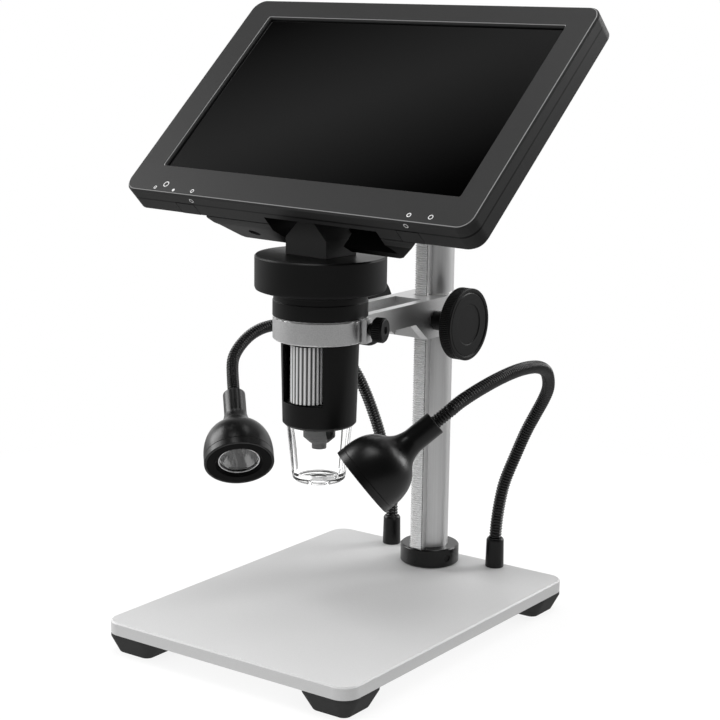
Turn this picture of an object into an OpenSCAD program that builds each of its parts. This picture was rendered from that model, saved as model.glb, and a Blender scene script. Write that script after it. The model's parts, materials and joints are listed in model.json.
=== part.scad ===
// Desktop digital microscope: hinged screen over a camera head, on a rack-driven column stand.
// Units are millimetres. Origin: centre of the stage plate, on the surface that the feet stand on.
// +X right, -Y towards the user, +Z up.

/* [Stage] */
// Width of the stage plate
plate_w = 122; // [110:1:150]
// Depth of the stage plate
plate_d = 161.5; // [150:0.5:200]
// Thickness of the stage plate
plate_t = 5.2; // [4.6:0.1:8]
// Corner radius of the stage plate
plate_r = 7; // [3:0.5:9]
// Height of each foot
foot_h = 8.4; // [6:0.1:12]
// Side of a foot where it meets the plate
foot_top = 25; // [20:0.5:27]
// Side of a foot on the floor
foot_base = 16.5; // [14:0.5:19]

/* [Column] */
// Distance of the column's axis in from the plate's rear edge
column_in = 15.75; // [14.75:0.25:17.75]
// Diameter of the column
column_dia = 16; // [15:0.5:18]
// Height of the column above the plate
column_h = 182; // [175:1:190]
// Diameter of the collar at the foot of the column
collar_dia = 26; // [25.5:0.5:28]
// Height of the collar
collar_h = 8.3; // [7:0.1:12]
// Width of the gear rack
rack_w = 5.8; // [5:0.1:6.4]
// How far the rack's teeth stand out in front of the column
rack_proud = 3.8; // [3.2:0.1:4.2]
// Tooth module of rack and pinion
gear_module = 0.32; // [0.3:0.01:0.34]
// Number of teeth on the pinion
pinion_teeth = 25; // [24:1:26]

/* [Bracket] */
// Height of the pinion's axis above the plate
pinion_h = 112.9; // [108:0.1:116]
// Height of the sleeve block on the column
block_h = 16.8; // [16:0.1:20]
// Width of the block and across the fork's arms
block_w = 21; // [20.5:0.5:24]
// Thickness of each fork arm
arm_t = 3.8; // [3:0.1:4.2]
// Height of each fork arm
arm_h = 9.2; // [8:0.1:10]
// Outer diameter of the clamp ring
ring_dia = 38; // [37:0.5:40]
// Height of the clamp ring
ring_h = 9.5; // [8.5:0.1:9.9]
// Diameter of a focus knob
knob_dia = 30.6; // [26:0.2:34]
// Thickness of a focus knob's rim
knob_t = 5.8; // [4.5:0.1:7]
// Direction of the clamp screw around the ring, in degrees
clamp_dir = 12; // [9:1:15]

/* [Head] */
// Distance of the head's axis in front of the plate's centre
head_y = -18.3; // [-20:0.1:-16]
// Turn of the head in its ring, in degrees
head_turn = -5; // [-8:0.5:2]
// Outer diameter of the barrel inside the clamp ring
barrel_dia = 32.8; // [32.4:0.1:33]
// Outer diameter of the barrel at its lower end
barrel_low_dia = 29.8; // [29.2:0.1:30.4]
// Length of the barrel below the clamp ring
barrel_len = 34.9; // [34.6:0.1:36]
// Diameter of the drum on top of the head
drum_dia = 52.6; // [50:0.2:56]
// Height of the drum
drum_h = 14; // [12.5:0.1:16]
// Diameter of the clear cup where it leaves the barrel
cup_top_dia = 26.4; // [26:0.1:27]
// Diameter of the clear cup at its lower end
cup_low_dia = 21.2; // [20:0.1:23]
// Length of the clear cup below the barrel
cup_len = 23.3; // [18:0.1:26]
// Diameter of the focus roller
roller_dia = 15; // [14.6:0.1:15.2]
// Diameter of the lens barrel
lens_dia = 13; // [12:0.1:13.4]

/* [Screen] */
// Tilt of the screen from lying flat, in degrees
screen_tilt = 43.5; // [40:0.5:60]
// Width of the display window
window_w = 155; // [150:0.5:165]
// Height of the display window
window_h = 87.8; // [84:0.2:94]
// Width of the case's face at each side of the window
side_border = 12.8; // [11.5:0.1:15]
// Width of the case's face above the window
top_border = 10.2; // [8.8:0.1:12]
// Width of the case's face below the window
low_border = 14.3; // [13.5:0.1:18]
// Depth of the case at its edges
case_t = 13; // [12:0.1:14.5]
// Corner radius of the case
case_r = 6.5; // [5:0.5:9]
// How far the rear hump stands out behind the case
hump_t = 18; // [16.5:0.1:18.4]

/* [Lamps] */
// Distance of each lamp socket from the centre line
socket_x = 27.8; // [26:0.1:32]
// Distance of the lamp sockets in from the plate's rear edge
socket_in = 5.35; // [4.75:0.05:5.75]
// Height of a lamp socket
socket_h = 13.3; // [11:0.1:16]
// Diameter of the gooseneck
neck_dia = 5.5; // [4.5:0.1:6]
// Diameter of a lamp at its rim
lamp_dia = 30; // [29:0.2:31]
// Length of a lamp from rim to sleeve end
lamp_len = 37.2; // [35:0.1:39]

/* [Hidden] */
$fn = 64;
eps = 0.01;
far = 400;
// Clearances
running = 0.05;
loose = 0.3;
seat_gap = 0.1;
// Thread radii of the screws
m2 = 1;
m2_5 = 1.25;
m3 = 1.5;
m4 = 2;
m6 = 3;
edge = 0.6;

// Stand
stage_z = foot_h + plate_t;
column_y = plate_d / 2 - column_in;
column_r = column_dia / 2;
bolt_head_r = 5;
bolt_head_h = 2.2;
washer_r = 6;
washer_t = 0.8;
bolt_seat_h = bolt_head_h + washer_t + 0.2;
bolt_len = 14;
foot_in = foot_top / 2;
foot_lip = 1.4;
foot_splay = 0.5;
foot_base_r = 3;
foot_screw_head_r = 2.8;
foot_screw_head_h = 1.8;
foot_screw_seat = foot_h / 2;
foot_screw_bite = plate_t - 1;
cap_h = 3;
cap_plug_r = 4;
cap_plug_h = 6;

// Rack and pinion
pitch = PI * gear_module;
addendum = 0.9 * gear_module;
dedendum = 1.25 * gear_module;
backlash = 0.16;
pressure = 20;
rack_tip = column_r + rack_proud;
rack_root = rack_tip - addendum - dedendum;
rack_back = column_r - 2.6;
rack_pitch_line = rack_tip - addendum;
rack_z0 = 3;
rack_top_gap = 4;
rack_play = 0.5;
pinion_r = gear_module * pinion_teeth / 2;
pinion_tip_r = pinion_r + addendum;
pinion_y = rack_pitch_line + pinion_r;
pinion_w = rack_w + 0.2;
shaft_r = 2.5;
bush_r = 3.5;
rack_teeth = floor((column_h - rack_top_gap - rack_z0) / pitch);
// Height of a tooth gap's centre, and how far round the pinion has to turn to sit in it
mesh_shift = (pinion_h - rack_z0) / pitch - floor((pinion_h - rack_z0) / pitch);
pinion_phase = mesh_shift * 360 / pinion_teeth;

// Bracket
arm_x = block_w / 2;
block_z1 = pinion_h + 9.1;
block_z0 = block_z1 - block_h;
arm_z0 = block_z1 - arm_h;
arm_root = head_y + 12;
liner_r = column_r + 0.9;
block_front = pinion_y + pinion_tip_r + 1.2;
gusset = 9.4;
ring_z1 = block_z1 + 1.4;
ring_z0 = ring_z1 - ring_h;
ring_r = ring_dia / 2;
barrel_r = barrel_dia / 2;
ring_bore = barrel_r + running;
ear_r = ring_r + 2.3;
ear_w = 5.6;
slit_w = 1;
slit_dir = clamp_dir - 9.5;
clamp_z = (ring_z0 + ring_z1) / 2 + 0.8;
clamp_head_r = 5;
clamp_head_t = 4.6;
clamp_neck = 2.3;
clamp_dimple_r = 1.6;
clamp_dimple = 0.7;

// Knobs
knob_r = knob_dia / 2;
knob_gap = 0.3;
knob_boss_r = 4.25;
knob_boss_len = 11.3 - knob_gap;
knob_x0 = arm_x + knob_gap;
knob_x1 = knob_x0 + knob_boss_len;
knob_x2 = knob_x1 + knob_t;
knob_dish_r = 0.56 * knob_r;
knob_dish = 0.6;
shaft_len = 2 * (knob_x2 - 2);
knob_screw_x = knob_x0 + 5;

// Head, heights above the plate
barrel_z0 = ring_z0 - barrel_len;
collar_r = ring_r + 0.1;
collar_screw_r = (collar_r + barrel_r) / 2;
collar_z0 = ring_z1 + seat_gap;
collar_z1 = ring_z1 + 10.3;
drum_r = drum_dia / 2;
drum_z0 = collar_z1;
drum_z1 = drum_z0 + drum_h;
drum_wall = 2;
drum_top = 2.2;
drum_plate_t = 1.8;
drum_screw_r = drum_r - 5;
block_screw_y = 5.5;
groove = 0.3;
barrel_bore = 13.4;
barrel_top = drum_z0;
window_dir = -82;
barrel_window_w = 19;
window_z0 = barrel_z0 + 9.9;
window_z1 = ring_z0 - 0.5;
roller_r = roller_dia / 2;
roller_off = 15.1 - roller_r;
roller_z0 = window_z0 + 0.6;
roller_z1 = window_z1 - 0.8;
roller_ribs = 26;
spindle_r = 1.5;
screw_r = 2;
low_plate_z = roller_z0 - 1.5;
plate_disc_t = 1.2;
high_plate_z = roller_z1 + 0.3;
lens_r = lens_dia / 2;
lens_neck_r = roller_off - screw_r - 0.4;
lens_neck_h = 4.2;
carrier_t = 1.6;
carrier_z = barrel_z0 + 4.3;
carrier_r = 12.4;
nut_r = 3.6;
nut_h = 3;
rod_off = 10.3;
rod_r = 1;
board_t = 1;
lens_z0 = barrel_z0 - 7.5;
lens_boss_z0 = barrel_z0 - 10;
lens_boss_r = 3;
light_z = barrel_z0 + 0.6;
light_r = 11.5;
light_hole_r = lens_r + 0.4;
led_count = 8;
led_ring_r = 9.4;
led_size = 1.8;
cup_wall = 1.6;
cup_spigot = 2.4;
cup_hole_r = 3.2;

// Screen hinge, in the head's frame; the case is placed from the same point
hinge_z = drum_z1 + 18.8;
hinge_w = 21.5;
hinge_d = 18;
hinge_rise = 6.9;
tongue_w = 8;
tongue_r = 5.2;
pin_r = 2;
ear_gap = 0.3;
ear_t = 1.6;
ear_round = 4.6;
pin_len = tongue_w + 2 * (ear_gap + ear_t) + 3;
pin_head_r = 3;

// Screen case: u to the right, v up the screen, n out of the glass, from the window's centre
hinge_v = -43.1;
hinge_n = -16.5;
seam_n = 5.3;
shell_wall = 2;
face_t = 1.6;
front_edge = 1;
window_slope = 1.6;
case_w = window_w + 2 * side_border;
case_h = window_h + top_border + low_border;
case_v = (top_border - low_border) / 2;
// The window sits a little right of the case's middle
case_u = -1.1;
case_left = case_u - case_w / 2;
case_right = case_u + case_w / 2;
case_low = case_v - case_h / 2;
case_high = case_v + case_h / 2;
glass_t = 1;
glass_margin = 2.4;
lcd_t = 3.6;
lcd_w = window_w + 9;
lcd_h = window_h + 11.7;
lcd_back = face_t + glass_t + lcd_t;
lcd_v = case_v - 0.2;
boss_u = lcd_w / 2 + 3;
boss_r = 2.4;
boss_top = case_high - 7.1;
boss_low = case_low + 7.2;
cell_r = 9.1;
cell_len = 65;
cell_v = -20.5;
cell_n = 19.5;
hump_u0 = -cell_len / 2 - 17.5;
hump_u1 = cell_len / 2 + 25.5;
hump_top = 6;
hump_n = case_t + hump_t;
hump_lip_n = 15.5;
hump_bevel_v = case_low + 4.8;
hump_bevel_n = hump_n - 1.6;
pocket_u0 = -15;
pocket_u1 = 42.5;
pocket_top = -33;
pocket_n0 = 7.8;
pocket_n1 = 24;
pocket_front_wall = 1.2;
slot_half = 15;
flange_t = 1.2;
flange_half = 12;
hinge_screw_u = 9;
pod_screw_u = -31;
pod_screw_n = 22;
pod_screw_tilt = atan((hump_bevel_v - case_low) / (hump_bevel_n - hump_lip_n));
key_w = 10.4;
key_n0 = seam_n + 0.3;
key_n1 = case_t - 1.3;
key_left_u = case_left + 33.5;
key_right_u = case_right - 30.7;
key_play = 0.25;
key_travel = 0.6;
key_lip = 0.8;
key_lip_t = 1;
pcb_t = 1.4;
pcb_n = lcd_back + 0.4;
board_u0 = case_left + 11.5;
board_u1 = case_right - 24.5;
board_v0 = -3;
board_v1 = 40;
board_leg_w = 10;
port_v = 10;
port_half = 4.5;
port_h = 1.8;
card_v = 26;
card_half = 6;
card_h = 0.4;
port_play = 0.4;
// Board supports inside the rear cover
board_posts = [[board_u0 + 12, board_v0 + 5], [board_u0 + 12, board_v1 - 4], [board_u1 - 29, board_v1 - 4]];

// Lamps: each route runs from its socket to the lamp, as offsets from the socket's foot
socket_y = plate_d / 2 - socket_in;
neck_r = neck_dia / 2;
socket_r = 4.1;
socket_top_r = 3.75;
socket_bore_depth = 8;
lamp_r = lamp_dia / 2;
lamp_droop = 39;
azimuth_right = -135;
azimuth_left = -46;
sleeve_r = 4.9;
sleeve_depth = 8;
tip_out = 6;
tip_gap = 0.1;
neck_end_out = tip_out + 1.5;
route_right = [
    [0, 0, 13], [0, 1, 21], [0.5, 2.5, 30], [2, 3.8, 39], [6, 5.5, 51], [10.5, 6, 62],
    [15, 5.8, 70.5], [19.5, 4.5, 78], [23.5, 1, 84.5], [26.5, -5, 91], [29, -13, 95.5],
    [31, -24, 98.6], [32.3, -38, 100], [32.4, -52, 99.4], [31, -65, 97], [28.6, -76, 93.4]];
route_left = [
    [0, 0, 13], [-1.5, 1.5, 20], [-5, 4, 29], [-9, 6.3, 39], [-13, 7.4, 49], [-17, 7.7, 58],
    [-21, 7.4, 66.5], [-25, 6.2, 74.5], [-29, 3.8, 81.5], [-33.5, -0.5, 88.5], [-38, -7, 94.5],
    [-42.3, -15.5, 98.6], [-46, -25, 100.6], [-49.3, -35.3, 99.7], [-50.7, -45, 95.8], [-49.9, -54, 89]];
end_right = [22.75, -85.85, 85.6];
end_left = [-41, -64.4, 75.7];

// ---------- placing frames ----------
module at_stage() translate([0, 0, stage_z]) children();
module at_column() translate([0, column_y, stage_z]) children();
module at_head() translate([0, head_y, stage_z]) rotate(head_turn) children();
module at_ring() translate([0, head_y, stage_z]) children();
module at_pinion() translate([0, column_y - pinion_y, stage_z + pinion_h]) children();
module at_roller() at_head() rotate(window_dir) translate([roller_off, 0, 0]) children();
module at_screen() at_head() translate([0, 0, hinge_z]) rotate([screen_tilt, 0, 0])
    translate([0, -hinge_v, -hinge_n]) children();
module at_socket(side) translate([side * socket_x, socket_y, stage_z]) children();
module at_lamp(side, end, azimuth) at_socket(side) translate(end) rotate(azimuth)
    rotate([0, lamp_droop - 90, 0]) children();

// ---------- general shapes ----------
module round_rect(w, h, r) {
    square([w - 2 * r, h], center = true);
    square([w, h - 2 * r], center = true);
    for (x = [-1, 1], y = [-1, 1]) translate([x * (w / 2 - r), y * (h / 2 - r)]) circle(r);
}
module slab(w, h, r, z0, z1) translate([0, 0, z0]) linear_extrude(z1 - z0) round_rect(w, h, r);
// A slab whose edge at z1 is bevelled by c
module bevelled_slab(w, h, r, z0, z1, c) {
    slab(w, h, r, z0, z1 - c);
    hull() {
        slab(w, h, r, z1 - c - eps, z1 - c);
        slab(w - 2 * c, h - 2 * c, r - c, z1 - eps, z1);
    }
}
module along_x() rotate([90, 0, 90]) children();
// A box by its low and high corners
module block(low, high) translate(low) cube(high - low);
module ring(r_out, r_in, z0, z1) rotate_extrude() translate([r_in, z0]) square([r_out - r_in, z1 - z0]);
module rod(r, z0, z1) translate([0, 0, z0]) cylinder(r = r, h = z1 - z0);
// A turned disc with both outer edges broken by c
module turned(r, z0, z1, c) rotate_extrude()
    polygon([[0, z0], [r - c, z0], [r, z0 + c], [r, z1 - c], [r - c, z1], [0, z1]]);

// ---------- stand ----------
foot_x = plate_w / 2 - foot_in;
foot_y = plate_d / 2 - foot_in;
module at_feet() for (x = [-1, 1], y = [-1, 1]) translate([x * foot_x, y * foot_y, 0]) children();

module base_plate() color("silver") difference() {
    at_stage() bevelled_slab(plate_w, plate_d, plate_r, -plate_t, 0, edge);
    translate([0, column_y, 0]) rod(m6 + 0.2, 0, far);
    translate([0, column_y, foot_h - eps]) rod(washer_r + 0.5, 0, bolt_seat_h + eps);
    at_feet() rod(m3, foot_h - eps, foot_h + foot_screw_bite);
    for (side = [-1, 1]) translate([side * socket_x, socket_y, 0]) rod(m6, 0, far);
}

module feet() color("dimgray") difference() {
    for (x = [-1, 1], y = [-1, 1]) hull() {
        translate([x * foot_x, y * foot_y, 0]) slab(foot_top, foot_top, plate_r, foot_h - foot_lip, foot_h);
        translate([x * (foot_x + foot_splay), y * (foot_y + foot_splay), 0])
            slab(foot_base, foot_base, foot_base_r, 0, eps);
    }
    at_feet() rod(m3 + 0.1, -1, far);
    at_feet() rod(foot_screw_head_r + 0.3, -1, foot_screw_seat);
}

module foot_screws() color("gray") at_feet() {
    rod(foot_screw_head_r, foot_screw_seat - foot_screw_head_h, foot_screw_seat);
    rod(m3, foot_screw_seat - eps, foot_h + foot_screw_bite - 0.4);
}

module column() color("gainsboro") at_column() difference() {
    rod(column_r, 0, column_h);
    block([-rack_w / 2, -far, rack_z0 - 0.3], [rack_w / 2, -rack_back, column_h + 1]);
    rod(m6, -1, bolt_len);
    rod(cap_plug_r, column_h - cap_plug_h, column_h + 1);
}

// Teeth are counted upwards from rack_z0; a gap is centred on every whole pitch
module gear_rack() color("lightgray") at_column() along_x() translate([0, 0, -rack_w / 2])
    linear_extrude(rack_w) polygon(concat(
        [[-rack_back, rack_z0]],
        [[-rack_root, rack_z0]],
        [for (i = [0:rack_teeth - 1]) each rack_tooth(rack_z0 + (i + 0.5) * pitch)],
        [[-rack_root, rack_z0 + rack_teeth * pitch]],
        [[-rack_back, rack_z0 + rack_teeth * pitch]]));
function rack_tooth(z) = let (
        half = pitch / 4 - backlash / 4,
        at_root = half + dedendum * tan(pressure),
        at_tip = half - addendum * tan(pressure))
    [[-rack_root, z - at_root], [-rack_tip, z - at_tip],
     [-rack_tip, z + at_tip], [-rack_root, z + at_root]];

module column_collar() color("dimgray") at_column() difference() {
    turned(collar_dia / 2, 0, collar_h, edge);
    rod(column_r, -1, far);
    block([-rack_w / 2 - 0.4, -rack_tip - 0.4, -1], [rack_w / 2 + 0.4, 0, far]);
    at_collar_screw() rod(m3, 0, far);
}
module at_collar_screw() rotate(-20) translate([0, 0, collar_h / 2]) rotate([0, 90, 0]) children();
module collar_screw() color("gray") at_column() at_collar_screw() rod(m3, column_r, collar_dia / 2 - 0.5);

module column_bolt() color("gray") translate([0, column_y, foot_h]) {
    rod(bolt_head_r, bolt_seat_h - washer_t - bolt_head_h, bolt_seat_h - washer_t);
    rod(m6, bolt_seat_h - washer_t - eps, plate_t + bolt_len - 1);
    ring(washer_r, m6 + 0.1, bolt_seat_h - washer_t, bolt_seat_h);
}
module column_cap() color("dimgray") at_column() {
    turned(column_r, column_h, column_h + cap_h, edge);
    rod(cap_plug_r, column_h - cap_plug_h + 0.5, column_h + edge);
}

module lamp_socket(side) color("dimgray") at_socket(side) difference() {
    union() {
        rotate_extrude() polygon([[0, 0], [socket_r, 0], [socket_top_r + 0.1, socket_h - 1],
                                  [socket_top_r - 0.5, socket_h], [0, socket_h]]);
        rod(m6, -plate_t - 3.4, eps);
    }
    rod(neck_r + running, socket_h - socket_bore_depth, far);
}
module lamp_socket_left() lamp_socket(-1);
module lamp_socket_right() lamp_socket(1);
module socket_nuts() color("gray") for (side = [-1, 1]) at_socket(side) difference() {
    translate([0, 0, -plate_t - 2.4]) cylinder(r = 5.5, h = 2.4, $fn = 6);
    rod(m6, -far, 0);
}

// ---------- carriage ----------
module bracket_arm(side) {
    x0 = side > 0 ? arm_x - arm_t : -arm_x;
    along_x() translate([0, 0, x0]) linear_extrude(arm_t) polygon([
        [arm_root, stage_z + arm_z0],
        [column_y - block_front - gusset, stage_z + arm_z0],
        [column_y - block_front, stage_z + block_z0],
        [column_y - block_front + 4, stage_z + block_z0],
        [column_y - block_front + 4, stage_z + block_z1],
        [arm_root, stage_z + block_z1]]);
}
module clamp_ear() at_ring() rotate(clamp_dir)
    block([ring_r - 4, -ear_w / 2, ring_z0], [ear_r, ear_w / 2, ring_z1]);
module at_clamp_screw() at_ring() rotate(clamp_dir) translate([0, 0, clamp_z]) rotate([0, 90, 0]) children();

module bracket() color("silver") difference() {
    union() {
        at_ring() turned(ring_r, ring_z0, ring_z1, edge);
        bracket_arm(-1);
        bracket_arm(1);
        at_column() block([-arm_x, -block_front, block_z0], [arm_x, 0, block_z1]);
        at_column() rod(arm_x, block_z0, block_z1);
        clamp_ear();
    }
    at_ring() rod(ring_bore, arm_z0 - 1, ring_z1 + 1);
    at_ring() rotate(slit_dir)
        block([barrel_r - 2, -slit_w / 2, ring_z0 - 1], [ring_r + 0.6, slit_w / 2, ring_z1 + 1]);
    at_clamp_screw() rod(m4 + running, barrel_r - 2, far);
    at_column() rod(liner_r, block_z0 - 1, block_z1 + 1);
    at_column() block([-rack_w / 2 - rack_play, -rack_tip - rack_play, block_z0 - 1],
                      [rack_w / 2 + rack_play, 0, block_z1 + 1]);
    at_pinion() block([-pinion_w / 2 - loose, -pinion_tip_r - loose, -pinion_tip_r - loose],
                      [pinion_w / 2 + loose, pinion_r, pinion_tip_r + loose]);
    at_pinion() rotate([0, 90, 0]) rod(bush_r, -far / 2, far / 2);
}

module column_liner() color("whitesmoke") at_column() difference() {
    ring(liner_r, column_r + running, block_z0, block_z1);
    block([-rack_w / 2 - rack_play, -far, block_z0 - 1], [rack_w / 2 + rack_play, 0, block_z1 + 1]);
}
module pinion_bushes() color("peru") at_pinion() rotate([0, 90, 0])
    for (side = [0, 180]) rotate([side, 0, 0]) ring(bush_r, shaft_r + running, pinion_w / 2 + loose, arm_x);

// ---------- focus drive ----------
function roll(a) = tan(a) * 180 / PI - a;
function flank(r) = let (
        base = pinion_r * cos(pressure),
        thinning = backlash / 4 / pinion_r * 180 / PI)
    90 / pinion_teeth - thinning + roll(pressure) - (r > base ? roll(acos(base / r)) : 0);
function polar(r, a) = [r * cos(a), r * sin(a)];
module gear_outline() {
    root = pinion_r - dedendum;
    mid = pinion_r;
    polygon([for (i = [0:pinion_teeth - 1]) let (a = i * 360 / pinion_teeth) each [
        polar(root, a - flank(root)), polar(mid, a - flank(mid)),
        polar(pinion_tip_r, a - flank(pinion_tip_r)), polar(pinion_tip_r, a + flank(pinion_tip_r)),
        polar(mid, a + flank(mid)), polar(root, a + flank(root))]]);
}
// The gear's outline lies in the YZ plane; its first tooth points at the rack, turned into the nearest gap
module pinion_shaft() color("gray") at_pinion() along_x() {
    rod(shaft_r, -shaft_len / 2, shaft_len / 2);
    translate([0, 0, -pinion_w / 2]) linear_extrude(pinion_w) rotate(-pinion_phase) gear_outline();
}
module focus_knob() color("dimgray") at_pinion() rotate([0, 90, 0]) difference() {
    union() {
        rod(knob_boss_r, knob_x0, knob_x1 + 1);
        turned(knob_r, knob_x1, knob_x2, edge);
    }
    rod(shaft_r, knob_x0 - 1, shaft_len / 2 + 0.2);
    rod(knob_dish_r, knob_x2 - knob_dish, knob_x2 + 1);
    translate([0, 0, knob_screw_x]) rotate([0, -90, 0]) rod(m3, 0, far);
}
module focus_knob_right() focus_knob();
module focus_knob_left() mirror([1, 0, 0]) focus_knob();
module knob_screws() color("gray") at_pinion() for (side = [-1, 1]) translate([side * knob_screw_x, 0, 0])
    rod(m3, shaft_r, knob_boss_r - 0.2);

module clamp_screw() color("dimgray") at_clamp_screw() difference() {
    union() {
        rod(m4, barrel_r + seat_gap, ear_r + clamp_neck + 1);
        rod(m4 + 0.6, ear_r + 0.4, ear_r + clamp_neck + 1);
        turned(clamp_head_r, ear_r + clamp_neck, ear_r + clamp_neck + clamp_head_t, edge);
    }
    rod(clamp_dimple_r, ear_r + clamp_neck + clamp_head_t - clamp_dimple, far);
}

// ---------- camera head ----------
module barrel_shell() color("dimgray") at_head() difference() {
    rotate_extrude() polygon([
        [barrel_bore, barrel_z0], [barrel_low_dia / 2 - 1, barrel_z0], [barrel_low_dia / 2, barrel_z0 + 1],
        [barrel_r - 0.7, ring_z0 - 0.9], [barrel_r, ring_z0 - 0.2], [barrel_r, barrel_top],
        [barrel_bore, barrel_top]]);
    rotate(window_dir) block([4, -barrel_window_w / 2, window_z0], [far, barrel_window_w / 2, window_z1]);
}
module head_collar() color("dimgray") at_head() difference() {
    rotate_extrude() polygon([
        [barrel_r, collar_z0], [collar_r, collar_z0], [collar_r, collar_z1 - 4],
        [collar_r - groove, collar_z1 - 3.8], [collar_r - groove, collar_z1 - 1.6],
        [collar_r, collar_z1 - 1.4], [collar_r, collar_z1], [barrel_r, collar_z1]]);
    at_collar_screws() rod(m2, collar_z1 - 5, far);
}
module at_collar_screws() for (a = [45:90:315]) rotate(a) translate([collar_screw_r, 0, 0]) children();
module at_drum_screws() for (a = [30:120:270]) rotate(a) translate([drum_screw_r, 0, 0]) children();
module at_block_screws() for (y = [-1, 1]) translate([0, y * block_screw_y, 0]) children();
module head_drum() color("dimgray") at_head() difference() {
    rotate_extrude() polygon([
        [0, drum_z0], [drum_r - 1.4, drum_z0], [drum_r - 0.4, drum_z0 + 0.4], [drum_r, drum_z0 + 1.4],
        [drum_r, drum_z1 - edge], [drum_r - edge, drum_z1], [0, drum_z1]]);
    difference() {
        rod(drum_r - drum_wall, drum_z0 - 1, drum_z1 - drum_top);
        at_drum_screws() rod(3.2, drum_z0 + drum_plate_t, drum_z1);
    }
    at_drum_screws() rod(m2, drum_z0, drum_z0 + 8);
    at_block_screws() rod(m2_5 + 0.1, drum_z0, far);
}
module drum_plate() color("dimgray") at_head() difference() {
    rod(drum_r - drum_wall, drum_z0, drum_z0 + drum_plate_t);
    at_drum_screws() {
        rod(m2 + 0.1, 0, far);
        rod(2, drum_z0 - 1, drum_z0 + 1);
    }
    at_collar_screws() rod(m2 + 0.1, 0, far);
    rod(7, 0, far);
}
// Collar screws from above, drum screws from below, hinge block screws from inside the drum
module head_screws() color("gray") at_head() {
    at_collar_screws() {
        rod(m2, collar_z1 - 4.8, drum_z0 + drum_plate_t + eps);
        rod(1.9, drum_z0 + drum_plate_t, drum_z0 + drum_plate_t + 1.2);
    }
    at_drum_screws() {
        rod(1.9, drum_z0, drum_z0 + 1);
        rod(m2, drum_z0 + 1 - eps, drum_z0 + 7.8);
    }
    at_block_screws() {
        rod(2.3, drum_z1 - drum_top - 1.4, drum_z1 - drum_top);
        rod(m2_5, drum_z1 - drum_top - eps, drum_z1 + 5);
    }
}
module hinge_block() color("dimgray") at_head() difference() {
    union() {
        rotate([90, 0, 0]) translate([0, 0, -hinge_d / 2]) linear_extrude(hinge_d) polygon([
            [-hinge_w / 2, drum_z1], [hinge_w / 2, drum_z1], [hinge_w / 2, drum_z1 + hinge_rise],
            [tongue_w / 2, drum_z1 + hinge_rise + (hinge_w - tongue_w) / 2],
            [-tongue_w / 2, drum_z1 + hinge_rise + (hinge_w - tongue_w) / 2],
            [-hinge_w / 2, drum_z1 + hinge_rise]]);
        block([-tongue_w / 2, -tongue_r, drum_z1 + hinge_rise], [tongue_w / 2, tongue_r, hinge_z]);
        translate([0, 0, hinge_z]) rotate([0, 90, 0]) rod(tongue_r, -tongue_w / 2, tongue_w / 2);
    }
    translate([0, 0, hinge_z]) rotate([0, 90, 0]) rod(pin_r + running, -far, far);
    at_block_screws() rod(m2_5, drum_z1 - 1, drum_z1 + 5.2);
}
module roller_plates() color("dimgray") at_head() difference() {
    for (z = [low_plate_z, high_plate_z]) rod(barrel_bore, z, z + plate_disc_t);
    rotate(window_dir) {
        translate([roller_off, 0, 0]) rod(spindle_r + running, 0, far);
        for (s = [-1, 1]) translate([0, s * rod_off, 0]) rod(rod_r, 0, low_plate_z + plate_disc_t + 1);
        translate([-9, 0, 0]) rod(2, 0, far);
    }
}
module guide_rods() color("silver") at_head() rotate(window_dir)
    for (s = [-1, 1]) translate([0, s * rod_off, 0])
        rod(rod_r, light_z + board_t, low_plate_z + plate_disc_t);
module light_board() color("seagreen") at_head() {
    ring(light_r, light_hole_r, light_z, light_z + board_t);
    for (i = [0:led_count - 1]) rotate((i + 0.5) * 360 / led_count)
        block([led_ring_r - led_size / 2, -led_size / 2, light_z - 0.6],
              [led_ring_r + led_size / 2, led_size / 2, light_z]);
}
// Clear cup: a spigot in the barrel, a cone with a thickened foot, and a floor with a round sight hole
module light_cup() color("aliceblue", 0.4) at_head() difference() {
    cup_z0 = barrel_z0 - cup_len;
    foot_z = cup_z0 + 3.4;
    top_r = cup_top_dia / 2;
    low_r = cup_low_dia / 2;
    rotate_extrude() polygon([
        [cup_hole_r, cup_z0 + 0.4], [low_r - 1.2, cup_z0], [low_r, cup_z0 + 1], [low_r + 0.4, foot_z],
        [top_r, barrel_z0 - 0.3], [barrel_bore - running, barrel_z0],
        [barrel_bore - running, barrel_z0 + cup_spigot], [light_r + running, barrel_z0 + cup_spigot],
        [light_r + running, barrel_z0 - 0.5], [low_r + 0.4 - cup_wall, foot_z + 0.4],
        [low_r - 0.2 - cup_wall, cup_z0 + 1.9], [cup_hole_r, cup_z0 + 1.6]]);
}
module head_board() color("seagreen") at_head() difference() {
    union() {
        block([-13, -9, drum_z0 + drum_plate_t], [13, 9, drum_z0 + drum_plate_t + board_t]);
        block([-11, -6, drum_z0 + drum_plate_t + board_t - eps], [-3, 6, drum_z0 + drum_plate_t + 3]);
        block([2, -4, drum_z0 + drum_plate_t + board_t - eps], [9, 4, drum_z0 + drum_plate_t + 2.2]);
    }
    at_collar_screws() rod(2.4, 0, far);
}

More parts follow.
